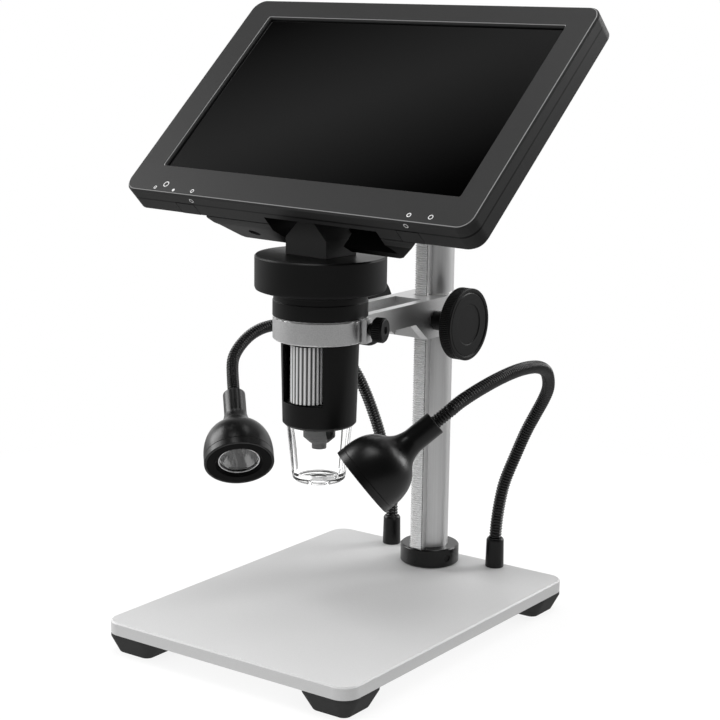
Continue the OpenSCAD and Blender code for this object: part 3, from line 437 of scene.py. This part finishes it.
LAMPS = {side: moved(*SOCKETS[side]) @ moved(*LAMP_ENDS[side])
         @ turn(LAMP_TURNS[side], "Z") @ turn(DROOP - 90, "Y") for side in SOCKETS}


# ---------- finishes ----------
def shaded_flank(name, root):
    """The side of a toothed bar: bright steel, with painted shade in front of the teeth's root line."""
    finish = Finish(name, Metallic=0.4)
    place = finish.position()
    grain = finish.noise(place, 600, 3)
    behind = (finish.parts(place)[1] + 0.3 * MM * grain).math("GREATER_THAN", root * MM)
    finish.set(Base_Color=finish.mix(behind, grey(0.012), tone(finish, grain, 0.6, 0.8)),
               Roughness=0.32 + 0.15 * grain)
    return finish.material


finishes = {
    "stage_silver": blasted("stage_silver_finish", 0.61, 0.73, 0.6, 0.25),
    # The bracket's ring carries a painted highlight along its two outer edges
    "bracket_silver": rim_highlighted("bracket_silver_finish", 0.5, 0.95, 0.36, 0.9,
                             (0, HEAD_Y), RING_R, RING_EDGES),
    "column_silver": drawn("column_silver_finish", 0.68, 0.86, 0.34, 0.75),
    "rack_steel": drawn("rack_steel_finish", 0.82, 0.98, 0.4, 0.25),
    "screw_steel": steel("screw_steel_finish", 0.45, 0.62, 0.24),
    "roller_silver": groove_shaded_ribs("roller_silver_finish", ROLLER_AT, ROLLER_VALLEY, ROLLER_CREST),
    "reflector_chrome": steel("reflector_chrome_finish", 0.78, 0.88, 0.05),
    "foot_rubber": rubber("foot_rubber_finish", 0.03),
    "collar_black": satin_black("collar_black_finish", 0.004, 0.26, 0.4),
    "socket_black": satin_black("socket_black_finish", 0.006, 0.3, 0.35),
    "barrel_black": satin_black("barrel_black_finish", 0.006, 0.38, 0.22),
    "lamp_black": satin_black("lamp_black_finish", 0.003, 0.32, 0.45),
    "neck_black": satin_black("neck_black_finish", 0.004, 0.24, 0.6),
    "knob_black": turned_black("knob_black_finish", 0.005, 0.34, 0.22),
    "case_black": moulded("case_black_finish", 0.026, 0.46, SCREEN, BEZEL_DEPTH),
    "screen_glass": display_glass("screen_glass_finish"),
    "lcd_dark": satin_black("lcd_dark_finish", 0.004, 0.2, 0.4),
    "cup_clear": clear("cup_clear_finish", 0.02, 0.97, 1.49),
    "lens_glass": clear("lens_glass_finish", 0.01, 0.95, 1.52),
    "board_green": board("board_green_finish"),
    "cell_blue": wrapped_cell("cell_blue_finish"),
    "liner_white": tinted("liner_white_finish", (0.6, 0.6, 0.58, 1), (0.72, 0.72, 0.69, 1), 0.35, 300),
    "bush_bronze": tinted("bush_bronze_finish", (0.4, 0.22, 0.08, 1), (0.55, 0.32, 0.13, 1), 0.3, 700, 1.0),
}
for node, part in nodes.items():
    part.data.materials.clear()
    part.data.materials.append(finishes[slots[node]])


# ---------- pieces ----------
def bake(piece):
    """Turns a piece's modifiers into plain mesh."""
    graph = bpy.context.evaluated_depsgraph_get()
    made = bpy.data.meshes.new_from_object(piece.evaluated_get(graph), depsgraph=graph)
    piece.modifiers.clear()
    piece.data = made


# How near a corner lies to a cylinder, in mm, and how well its face agrees with one
ROUND_PLAY = 0.06
UPRIGHT = 0.1
ACROSS = 0.96


def true_rounds(piece, rounds, flats):
    """Sets exact normals on faces over flats mm2, and on cylinders given as (axis, radii in mm) pairs."""
    mesh = piece.data
    normals = [corner.vector.copy() for corner in mesh.corner_normals]
    for face in mesh.polygons:
        if flats and face.area > flats * MM * MM:
            for corner in face.loop_indices:
                normals[corner] = face.normal.copy()
    for axis, radii in rounds:
        back, spin = axis.inverted(), axis.to_3x3()
        places = [back @ vertex.co for vertex in mesh.vertices]
        for face in mesh.polygons:
            flat = spin.transposed() @ face.normal
            if abs(flat.z) > UPRIGHT:
                continue
            for corner in face.loop_indices:
                out = places[mesh.loops[corner].vertex_index].to_2d()
                if min(abs(out.length - radius * MM) for radius in radii) > ROUND_PLAY * MM:
                    continue
                facing = flat.to_2d().dot(out) / out.length
                if abs(facing) > ACROSS:
                    out = out.normalized() * (1 if facing > 0 else -1)
                    normals[corner] = spin @ out.to_3d()
    mesh.normals_split_custom_set(normals)


# Edges sharper than this, in degrees, stay crisp
CORNER = 32
CORNER_AFTER_EDGES = 46


def settle(name, work, node, edge=0.0, segments=2, corner=CORNER, rides=True, rounds=(), flats=0):
    """Makes a piece for a CAD node, with broken edges and even shading, and puts it on its body."""
    piece = added(name, mesh_of(name, work))
    if edge:
        bevel = piece.modifiers.new("edges", "BEVEL")
        bevel.width = edge * MM
        bevel.segments = segments
        bevel.limit_method = "ANGLE"
        bevel.angle_limit = math.radians(corner)
        bevel.miter_outer = "MITER_ARC"
        bake(piece)
    piece.data.shade_smooth()
    piece.data.set_sharp_from_angle(angle=math.radians(CORNER_AFTER_EDGES if edge else corner))
    even = piece.modifiers.new("normals", "WEIGHTED_NORMAL")
    even.keep_sharp = True
    bake(piece)
    if rounds or flats:
        true_rounds(piece, rounds, flats)
    piece.data.materials.clear()
    piece.data.materials.append(finishes[slots[node]])
    if rides:
        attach(piece, bodies[node])
    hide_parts(node)
    return piece


MERGE_WITHIN = 2 * UM
FLAT_WITHIN = 0.4


def dress(node, edge, segments=2, rounds=(), flats=0):
    """A CAD node again, with its triangles joined, its edges broken and its shading evened."""
    work = bmesh.new()
    work.from_mesh(nodes[node].data)
    bmesh.ops.remove_doubles(work, verts=work.verts, dist=MERGE_WITHIN)
    bmesh.ops.dissolve_limit(work, angle_limit=math.radians(FLAT_WITHIN),
                             verts=work.verts, edges=work.edges)
    return settle(node + "_piece", work, node, edge, segments, rounds=rounds, flats=flats)


def rounded(outline, closed, steps=4):
    """An outline of (radius, height, corner radius) in mm, with its corners turned into arcs."""
    made = []
    for index, (x, z, radius) in enumerate(outline):
        corner = Vector((x, z))
        if not radius or (not closed and index in (0, len(outline) - 1)):
            made.append(corner)
            continue
        before = Vector(outline[index - 1][:2]) - corner
        after = Vector(outline[(index + 1) % len(outline)][:2]) - corner
        reach = min(radius / math.tan(before.angle(after) / 2), 0.48 * before.length, 0.48 * after.length)
        start, end = corner + before.normalized() * reach, corner + after.normalized() * reach
        for step in range(steps + 1):
            t = step / steps
            made.append((1 - t) ** 2 * start + 2 * t * (1 - t) * corner + t ** 2 * end)
    return made


def revolved(outline, place, segments=120, closed=False):
    """A mesh turned from an outline in mm round its own Z axis, then put in place."""
    work = bmesh.new()
    angles = [2 * math.pi * step / segments for step in range(segments)]
    rings = []
    for radius, height in outline:
        if radius < 1e-6:
            rings.append([work.verts.new((0, 0, height * MM))] * segments)
            continue
        rings.append([work.verts.new((radius * MM * math.cos(a), radius * MM * math.sin(a), height * MM))
                      for a in angles])
    pairs = list(zip(rings, rings[1:] + rings[:1])) if closed else list(zip(rings, rings[1:]))
    for low, high in pairs:
        for step in range(segments):
            after = (step + 1) % segments
            corners = [low[step], low[after], high[after], high[step]]
            unique = [corner for index, corner in enumerate(corners) if corner not in corners[:index]]
            if len(unique) > 2:
                work.faces.new(unique)
    work.transform(place)
    bmesh.ops.recalc_face_normals(work, faces=work.faces)
    return work


class Shape(Graph):
    """A geometry tree with named inputs, for what repeats on the part."""

    def __init__(self, name, inputs):
        super().__init__(bpy.data.node_groups.new(name, "GeometryNodeTree"))
        self.tree.interface.new_socket("Geometry", in_out="OUTPUT", socket_type="NodeSocketGeometry")
        self.keys = {}
        for key, kind in inputs.items():
            self.keys[key] = self.tree.interface.new_socket(
                key, in_out="INPUT", socket_type="NodeSocket" + kind).identifier
        self.entry = self.tree.nodes.new("NodeGroupInput")

    def ask(self, key):
        return Value(self, self.entry.outputs[key])

    def close(self, geometry):
        """Ends the tree: smooth, real geometry with its material."""
        smooth = self.node("GeometryNodeSetShadeSmooth", values={0: geometry})
        real = self.node("GeometryNodeRealizeInstances", values={0: smooth})
        given = self.node("GeometryNodeSetMaterial", values={0: real, "Material": self.ask("Material")})
        out = self.tree.nodes.new("NodeGroupOutput")
        self.tree.links.new(given.socket, out.inputs[0])

    def grow(self, start=None, **values):
        """A mesh grown by the tree, as a bmesh."""
        seed = added("seed", start or bpy.data.meshes.new("seed"))
        modifier = seed.modifiers.new("grow", "NODES")
        modifier.node_group = self.tree
        for key, value in values.items():
            modifier[self.keys[key.replace("_", " ")]] = value
        bake(seed)
        work = bmesh.new()
        work.from_mesh(seed.data)
        bpy.data.objects.remove(seed)
        return work


def ridge_shape():
    """Half-round ridges side by side round a rim."""
    shape = Shape("ridged rim", {"Ridges": "Int", "Rim": "Float", "Ridge": "Float", "Length": "Float",
                                 "Material": "Material"})
    circle = shape.node("GeometryNodeMeshCircle", values={
        "Vertices": shape.ask("Ridges"), "Radius": shape.ask("Rim")})
    ridge = shape.node("GeometryNodeMeshCylinder", values={
        "Vertices": 8, "Radius": shape.ask("Ridge"), "Depth": shape.ask("Length")})
    spread = shape.node("GeometryNodeInstanceOnPoints", values={"Points": circle, "Instance": ridge})
    shape.close(spread)
    return shape


def hose_shape():
    """A wound metal hose along a path of edges: the windings stand out in equal rings."""
    shape = Shape("wound hose", {"Geometry": "Geometry", "Radius": "Float", "Groove": "Float",
                                 "Pitch": "Float", "Step": "Float", "Material": "Material"})
    path = shape.node("GeometryNodeMeshToCurve", values={0: shape.ask("Geometry")})
    even = shape.node("GeometryNodeResampleCurve", {"mode": "LENGTH"}, {
        "Curve": path, "Length": shape.ask("Step")})
    run = shape.node("GeometryNodeSplineParameter", out="Length")
    wave = (run * math.pi / shape.ask("Pitch")).math("SINE").math("ABSOLUTE")
    radius = shape.ask("Radius") - shape.ask("Groove") * (1 - wave)
    ring = shape.node("GeometryNodeCurvePrimitiveCircle", values={"Resolution": 16, "Radius": 1.0})
    tube = shape.node("GeometryNodeCurveToMesh", values={
        "Curve": even, "Profile Curve": ring, "Scale": radius, "Fill Caps": True})
    shape.close(tube)
    return shape


ridged_rim = ridge_shape()
wound_hose = hose_shape()


def joined(*works):
    """Several meshes as one."""
    whole = bmesh.new()
    for work in works:
        mesh = mesh_of("join", work)
        whole.from_mesh(mesh)
        bpy.data.meshes.remove(mesh)
    return whole


# ---------- stand ----------
dress("base_plate", 0.22)
dress("feet", 0.5)
dress("foot_screws", 0.15)
dress("column", 0.12, rounds=[(COLUMN, [8])])
rack = dress("gear_rack", 0.05, 1)
# The rack's sides get painted shade in front of the teeth's root line
rack.data.materials.append(shaded_flank("rack_flank", RACK_ROOT_Y))
for face in rack.data.polygons:
    face.material_index = int(abs(face.normal.x) > 0.9)
dress("column_collar", 0.25, rounds=[(COLUMN, [13])])
dress("collar_screw", 0.1).data.materials[0] = finishes["socket_black"]
dress("column_bolt", 0.2)
dress("column_cap", 0.3, rounds=[(COLUMN, [8])])
dress("lamp_socket_left", 0.4, 3)
dress("lamp_socket_right", 0.4, 3)
dress("socket_nuts", 0.2)

# ---------- carriage and focus drive ----------
dress("bracket", 0.28, rounds=[(RING, [RING_R, 16.45]), (COLUMN, [10.5, 8.9])], flats=4)
dress("column_liner", 0.08)
dress("barrel_shell", 0.12, rounds=[(RING, [16.4, 13.4])])
dress("head_collar", 0.2, rounds=[(RING, [19.1, 18.8])])
dress("hinge_block", 0.35, 3)
dress("head_screws", 0.1)
dress("roller_plates", 0.1)
dress("guide_rods", 0.1)
dress("focus_roller", 0.08, 1)
dress("lens_barrel", 0.15)
dress("lens_carrier", 0.1)
dress("head_drum", 0.3, 3, rounds=[(RING, [26.3, 24.3])])

RIDGE_R = 0.4


def ridges(count, rim, length, place):
    """Half-round ridges round the rim of a knob, in mm."""
    work = ridged_rim.grow(Ridges=count, Rim=rim * MM, Ridge=RIDGE_R * MM, Length=length * MM,
                           Material=finishes["knob_black"])
    work.transform(place)
    return work


# Outlines are (radius, height, corner radius) in mm, turned round the piece's own axis
KNOB = [(0, 10.8, 0), (4.25, 10.8, 0.3), (4.25, 21.8, 0.4), (14.8, 21.8, 0.4), (15.2, 22.4, 0.2),
        (14.95, 22.6, 0), (14.95, 26.7, 0), (15.3, 26.9, 0.15), (15.3, 27.6, 0.3),
        (13.9, 27.6, 0.15), (13.5, 27.05, 0.1), (13.1, 27.35, 0.15), (8.7, 27.35, 0.15),
        (8.5, 27.05, 0.1), (0, 27.05, 0)]
for side, flip in (("right", 0), ("left", 180)):
    place = PINION @ turn(flip, "X")
    rim = ridges(112, 14.85, 4.6, place @ moved(0, 0, 24.5))
    knob = joined(revolved(rounded(KNOB, False), place, 144), rim)
    settle("focus_knob_%s_piece" % side, knob, "focus_knob_" + side)

THUMB = [(0, 16.5, 0), (2, 16.5, 0.2), (2, 21.7, 0), (2.6, 21.7, 0.2), (2.6, 23.6, 0.1),
         (4.5, 23.6, 0.3), (4.7, 24.2, 0.1), (4.7, 27.5, 0.1), (4.5, 28.2, 0.5), (1.7, 28.2, 0.3),
         (1.4, 27.5, 0.2), (0, 27.5, 0)]
grip = ridges(34, 4.6, 3.4, CLAMP @ moved(0, 0, 25.85))
settle("clamp_screw_piece", joined(revolved(rounded(THUMB, False), CLAMP, 64), grip), "clamp_screw")


def knuckle_shield(inner, outer, first, last, half, steps=16):
    """A curved plate round the screen's pin, in mm and degrees.

    It closes the slot behind the hinge block.
    """
    work = bmesh.new()
    angles = [math.radians(first + (last - first) * step / steps) for step in range(steps + 1)]
    ring = [(outer * math.sin(a), -outer * math.cos(a)) for a in angles]
    ring += [(inner * math.sin(a), -inner * math.cos(a)) for a in reversed(angles)]
    base = work.faces.new([work.verts.new((-half * MM, v * MM, n * MM)) for v, n in ring])
    lifted = bmesh.ops.extrude_face_region(work, geom=[base])["geom"]
    corners = [item for item in lifted if isinstance(item, bmesh.types.BMVert)]
    bmesh.ops.translate(work, vec=(2 * half * MM, 0, 0), verts=corners)
    work.transform(HINGE)
    bmesh.ops.recalc_face_normals(work, faces=work.faces)
    return work


shield = settle("hinge_shield", knuckle_shield(inner=13.2, outer=14.8, first=-52, last=12, half=10.3),
                "hinge_block", 0.25)
# Painted shade: the shield is near black, darker than the case plastic, as it lies in shade
shield.data.materials[0] = satin_black("shield_black", 0.002, 0.6, 0.1)

# ---------- clear cup ----------
CUP = [(3.2, 56.1, 0.3), (9.4, 55.7, 0.4), (10.6, 56.7, 0.5), (11.0, 59.1, 0.3), (13.2, 78.7, 0.2),
       (13.35, 79.0, 0.05), (13.35, 81.4, 0.1), (11.55, 81.4, 0.1), (11.55, 78.5, 0.4),
       (9.4, 59.5, 0.5), (8.8, 57.6, 0.5), (3.2, 57.3, 0.3)]
settle("light_cup_piece", revolved(rounded(CUP, True), HEAD, 128, closed=True), "light_cup")

# ---------- screen ----------
dress("front_bezel", 0.35, 3)
dress("cover_glass", 0.1)
rear = dress("rear_cover", 0.35)
# Painted shade: the faces inside the hinge pocket get a near-black copy of the case plastic
rear.data.materials.append(satin_black("case_inside", 0.003, 0.6, 0.1))
POCKET = ((-15.2, 42.7), (-58.1, -32.8), (-30.5, -7.6))
to_screen = SCREEN.inverted()
for face in rear.data.polygons:
    place = to_screen @ face.center / MM
    face.material_index = int(all(low < along < high for along, (low, high) in zip(place, POCKET)))
dress("power_key", 0.2)
dress("capture_key", 0.2)
dress("screen_screws", 0.12)
dress("hinge_bracket", 0.15)
dress("hinge_pin", 0.15)

# ---------- lamps ----------
HOSE_R = 2.75
HOSE_GROOVE = 0.42
HOSE_PITCH = 1.26
HOSE_STEP = 0.18


def hose(points):
    """A wound hose along world points, in mm."""
    path = bpy.data.meshes.new("path")
    path.from_pydata([point * MM for point in points], [(i, i + 1) for i in range(len(points) - 1)], [])
    work = wound_hose.grow(path, Radius=HOSE_R * MM, Groove=HOSE_GROOVE * MM, Pitch=HOSE_PITCH * MM,
                           Step=HOSE_STEP * MM, Material=finishes["neck_black"])
    bmesh.ops.recalc_face_normals(work, faces=work.faces)
    return work


def curve(points, steps):
    """A smooth curve through points, with steps to each span."""
    made = []
    for i in range(len(points) - 1):
        a, b = points[max(i - 1, 0)], points[i]
        c, d = points[i + 1], points[min(i + 2, len(points) - 1)]
        for step in range(steps):
            t = step / steps
            made.append(0.5 * (2 * b + (c - a) * t + (2 * a - 5 * b + 4 * c - d) * t * t
                               + (3 * b - a - 3 * c + d) * t ** 3))
    return made + [points[-1]]


# Points along each lamp's neck, from its socket
ROUTES = {
    "right": [(0, 0, 13.3), (0, 1, 21), (0.5, 2.5, 30), (2, 3.8, 39), (6, 5.5, 51), (10.5, 6, 62),
              (15, 5.8, 70.5), (19.5, 4.5, 78), (23.5, 1, 84.5), (26.5, -5, 91), (29, -13, 95.5),
              (31, -24, 98.6), (32.3, -38, 100), (32.4, -52, 99.4), (31, -65, 97),
              (28.6, -76, 93.4)],
    "left": [(0, 0, 13.3), (-1.5, 1.5, 20), (-5, 4, 29), (-9, 6.3, 39), (-13, 7.4, 49),
             (-17, 7.7, 58), (-21, 7.4, 66.5), (-25, 6.2, 74.5), (-29, 3.8, 81.5),
             (-33.5, -0.5, 88.5), (-38, -7, 94.5), (-42.3, -15.5, 98.6), (-46, -25, 100.6),
             (-49.3, -35.3, 99.7), (-50.7, -45, 95.8), (-49.9, -54, 89)]}


def bell(a, b, c, d, steps):
    """Points of the bell's curve, as (radius, height, corner radius)."""
    a, b, c, d = (Vector(point) for point in (a, b, c, d))
    spans = [step / steps for step in range(steps)]
    return [tuple((1 - t) ** 3 * a + 3 * (1 - t) ** 2 * t * b + 3 * (1 - t) * t * t * c + t ** 3 * d) + (0,)
            for t in spans]


SHELL = ([(1.4, -8, 0.1), (1.4, -25.6, 0.1), (12.6, -25.6, 0.3), (12.6, -35.2, 0.1), (13.9, -35.2, 0.1),
          (13.9, -37.2, 0.2), (15, -37.2, 0.35), (15, -34.25, 0), (14.86, -34.1, 0), (15, -33.95, 0)]
         + bell((15, -33.8), (15.2, -27.7), (13.5, -22.2), (9.4, -19.2), 18)
         + bell((9.4, -19.2), (6.7, -17.2), (5.6, -15.6), (4.9, -11.2), 12)
         + [(4.9, -11.2, 0), (4.9, 0, 0.5), (2.9, 0, 0.2), (2.9, -8, 0.1)])
FACE = [(13.9, -37.2, 0.15), (13.9, -35.2, 0.1), (8.95, -35.2, 0.05), (8.95, -35.7, 0.1),
        (9.5, -36.1, 0.1), (10.2, -37.2, 0.2)]
TRIM = [(8.95, -35.25, 0), (8.95, -35.9, 0.15), (8.45, -35.9, 0.15), (8.45, -35.25, 0)]
LED = [(0, -27.4, 0), (2.3, -27.4, 0), (2.3, -28.0, 0.4), (1.5, -29.3, 0.8), (0, -29.6, 0)]
# The bowl has twelve facets, and its outline has sharp corners
BOWL = [(11.4, -34.0), (11.4, -33.2), (9, -33.1), (4.8, -26.8), (10.6, -26.6), (10.6, -25.6),
        (0, -25.6), (0, -27.5), (2.4, -27.5), (2.4, -26.6), (4.1, -28.6), (6.0, -31.2),
        (8.2, -34.0)]
BOWL_R = 8.3
SOCKET_TOP = 5.5
NECK_AHEAD = 7.5
TIP_FROM = 6.0
TIP_STEP = 0.25
TIP_STEPS = 55
face_black = satin_black("lamp_face_black", 0.0025, 0.55, 0.08)
led_dark = satin_black("lamp_led_dark", 0.02, 0.08, 0.6)
# Painted shade: the bowl's facets get a darker copy of the reflector's chrome
bowl_chrome = steel("bowl_chrome", 0.16, 0.26, 0.04)

for side in ("left", "right"):
    lamp = LAMPS[side]
    bell_shell = revolved(rounded(SHELL, True, 3), lamp, 128, closed=True)
    settle("lamp_shell_%s_piece" % side, bell_shell, "lamp_shell_" + side)
    front = revolved(rounded(FACE, True, 3), lamp, 96, closed=True)
    face = settle("lamp_face_%s_piece" % side, front, "lamp_face_" + side)
    face.data.materials[0] = face_black
    dress("lamp_lens_" + side, 0.1)
    bowl = joined(revolved(BOWL, lamp, 12, closed=True),
                  revolved(rounded(TRIM, True, 3), lamp, 96, closed=True))
    piece = settle("lamp_reflector_%s_piece" % side, bowl, "lamp_reflector_" + side, corner=12)
    piece.data.materials.append(bowl_chrome)
    for facet in piece.data.polygons:
        facet.material_index = int((lamp.inverted() @ facet.center).to_2d().length < BOWL_R * MM)
    dome = settle("lamp_led_" + side, revolved(rounded(LED, False), lamp, 32), "lamp_reflector_" + side)
    dome.data.materials[0] = led_dark

    foot = Vector(SOCKETS[side])
    back = lamp.to_3x3() @ Vector((0, 0, 1))
    end = foot + Vector(LAMP_ENDS[side])
    through = [foot + Vector(point) for point in ROUTES[side]] + [end + NECK_AHEAD * back]
    smooth = [foot + Vector((0, 0, SOCKET_TOP))] + curve(through, 24) + [end + TIP_FROM * back]
    settle("neck_%s_piece" % side, hose(smooth[::-1]), "neck_" + side, corner=80)
    tip = [end + (TIP_FROM - step * TIP_STEP) * back for step in range(TIP_STEPS + 1)]
    piece = settle("neck_tip_%s_piece" % side, hose(tip), "neck_tip_" + side, corner=80, rides=False)
    (end + TIP_FROM * back) * MM
    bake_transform(piece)

# ---------- printed marks on the screen ----------
print_white = tinted("print_white", (0.62, 0.62, 0.62, 1), (0.78, 0.78, 0.78, 1), 0.5, 900)
# Dots and rings on the screen's front as (across, up, radius, line), and on its keys as (across, back)
MARKS = [(-73.1, -55.7, 0.8, 0.35), (-68.2, -53.5, 1.4, 0.4), (-62.1, -56.1, 0.7, 0),
         (-51.6, -55.5, 0.9, 0.35), (60.3, -54.7, 1.0, 0.4), (70.3, -54.5, 1.1, 0.35)]
KEY_MARKS = [(-52.2, -3.0), (59.9, -2.1)]
KEY_FACE_V = -58.2
KEY_RING_R = 1.1
KEY_LINE = 0.4
INK_LOW = 0.004
INK_HIGH = 0.03


def printed(place, radius, line):
    """A dot, or a ring of a given line width, that lies on a face. In mm."""
    if line:
        outline = [(radius - line, INK_LOW), (radius - line, INK_HIGH),
                   (radius, INK_HIGH), (radius, INK_LOW)]
    else:
        outline = [(0, INK_LOW), (radius, INK_LOW), (radius, INK_HIGH), (0, INK_HIGH)]
    return revolved(outline, place, 24, closed=bool(line))


marks = [printed(SCREEN @ moved(u, v, 0), radius, line) for u, v, radius, line in MARKS]
marks += [printed(SCREEN @ moved(u, KEY_FACE_V, n) @ turn(90, "X"), KEY_RING_R, KEY_LINE)
          for u, n in KEY_MARKS]
piece = added("screen_marks", mesh_of("screen_marks", joined(*marks)))
piece.data.materials.append(print_white)
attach(piece, "screen")

# ---------- light, floor and background ----------
AIM = (0, 0, 0.15)
PANELS = [
    ("top", (0.02, 0.02, 1.25), (0, 0, 0.1), (0.9, 0.9), 9.7),
    ("left", (-1.07, -0.2, 0.66), AIM, (0.5, 0.7), 7),
    ("right", (0.6, 1.05, 0.66), AIM, (0.45, 0.8), 7)]


def soft_panel(name, at, aim, size, watts):
    """A soft rectangular light."""
    data = bpy.data.lights.new(name, "AREA")
    data.shape = "RECTANGLE"
    data.size, data.size_y = size
    data.energy = watts
    panel = added(name, data)
    panel.location = at
    panel.rotation_euler = (Vector(aim) - Vector(at)).to_track_quat("-Z", "Y").to_euler()


for panel in PANELS:
    soft_panel(*panel)

# The surroundings: directions, and how bright each share of them is
BEHIND = (-0.58, 0.81)
SHEEN_ACROSS = (-0.22485, 0.94527, -0.23645)
SHEEN_TOWARDS = (-0.64487, 0.03756, 0.76337)
ROOM = 0.05
BACKDROP = 1.2
SHEEN = 0.3
FRONT_FILL = 1.25


def towards(coordinates, direction):
    """How far a point lies along a direction."""
    terms = [coordinate * share for coordinate, share in zip(coordinates, direction)]
    total = terms[0]
    for term in terms[1:]:
        total = total + term
    return total


def make_world():
    """White to the camera, and to all else brighter at the back.

    A faint patch is there for the screen to mirror, and matt surfaces get a fill from the front.
    """
    world = bpy.data.worlds.new("studio")
    world.use_nodes = True
    bpy.context.scene.world = world
    sky = Graph(world.node_tree)
    for old in list(sky.tree.nodes):
        sky.tree.nodes.remove(old)
    x, y, z = sky.parts(sky.node("ShaderNodeTexCoord", out="Generated"))
    low = (1 - abs(z)).math("MAXIMUM", 0.0)
    behind = ((towards((x, y), BEHIND) + 0.5) / 0.95).clamped()
    near = ((towards((x, y, z), SHEEN_TOWARDS) - 0.85) / 0.1).clamped()
    patch = (1 - abs(towards((x, y, z), SHEEN_ACROSS)) / 0.06).math("MAXIMUM", 0.0) * near
    bounced = sky.node("ShaderNodeLightPath", out="Is Diffuse Ray")
    ahead = (y * -1).math("MAXIMUM", 0.0)
    level = ((ROOM + BACKDROP * behind * behind * low) * (1 - near)
             + SHEEN * patch + FRONT_FILL * bounced * ahead)
    seen = sky.node("ShaderNodeLightPath", out="Is Camera Ray")
    shade = sky.node("ShaderNodeBackground", values={"Color": grey(1), "Strength": level})
    white = sky.node("ShaderNodeBackground", values={"Color": grey(1), "Strength": 1.0})
    both = sky.node("ShaderNodeMixShader", values={0: seen, 1: shade, 2: white})
    out = sky.tree.nodes.new("ShaderNodeOutputWorld")
    sky.tree.links.new(both.socket, out.inputs[0])


make_world()

# The floor's own glow for each kind of ray, round the object and far from it
NEAR_GLOW = {"Is Camera Ray": 0.86, "Is Glossy Ray": 0.4,
             "Is Transmission Ray": 0.86, "Is Diffuse Ray": 0.55}
FAR_GLOW = {"Is Camera Ray": 0.84, "Is Glossy Ray": 0.25,
            "Is Transmission Ray": 0.84, "Is Diffuse Ray": 0.05}
FAR_BASE = 0.16
FLOOR_HALF = 6
FADE_FROM = 0.14
FADE_OVER = 0.2


def ray_glow(cover, base, shares):
    """An emission whose strength goes by the kind of ray."""
    level = base
    for ray, share in shares.items():
        level = level + cover.node("ShaderNodeLightPath", out=ray) * share
    return cover.node("ShaderNodeEmission", values={"Color": grey(1), "Strength": level})


def make_floor():
    """A pale floor that keeps the object's shadow and fades to white away from it."""
    work = bmesh.new()
    bmesh.ops.create_grid(work, x_segments=1, y_segments=1, size=FLOOR_HALF)
    floor = added("floor", mesh_of("floor", work))
    cover = Finish("floor_white", Base_Color=grey(0.16), Roughness=0.9, Specular_IOR_Level=0.0)
    fade = ((cover.measure("LENGTH", cover.position()) - FADE_FROM) / FADE_OVER).clamped()
    lit = cover.node("ShaderNodeAddShader", values={
        0: Value(cover, cover.shader.outputs[0]), 1: ray_glow(cover, 0.0, NEAR_GLOW)})
    white = ray_glow(cover, FAR_BASE, FAR_GLOW)
    both = cover.node("ShaderNodeMixShader", values={0: fade, 1: lit, 2: white})
    cover.tree.links.new(both.socket, cover.tree.nodes["Material Output"].inputs[0])
    floor.data.materials.append(cover.material)


make_floor()
bpy.context.scene.view_settings.view_transform = "Standard"
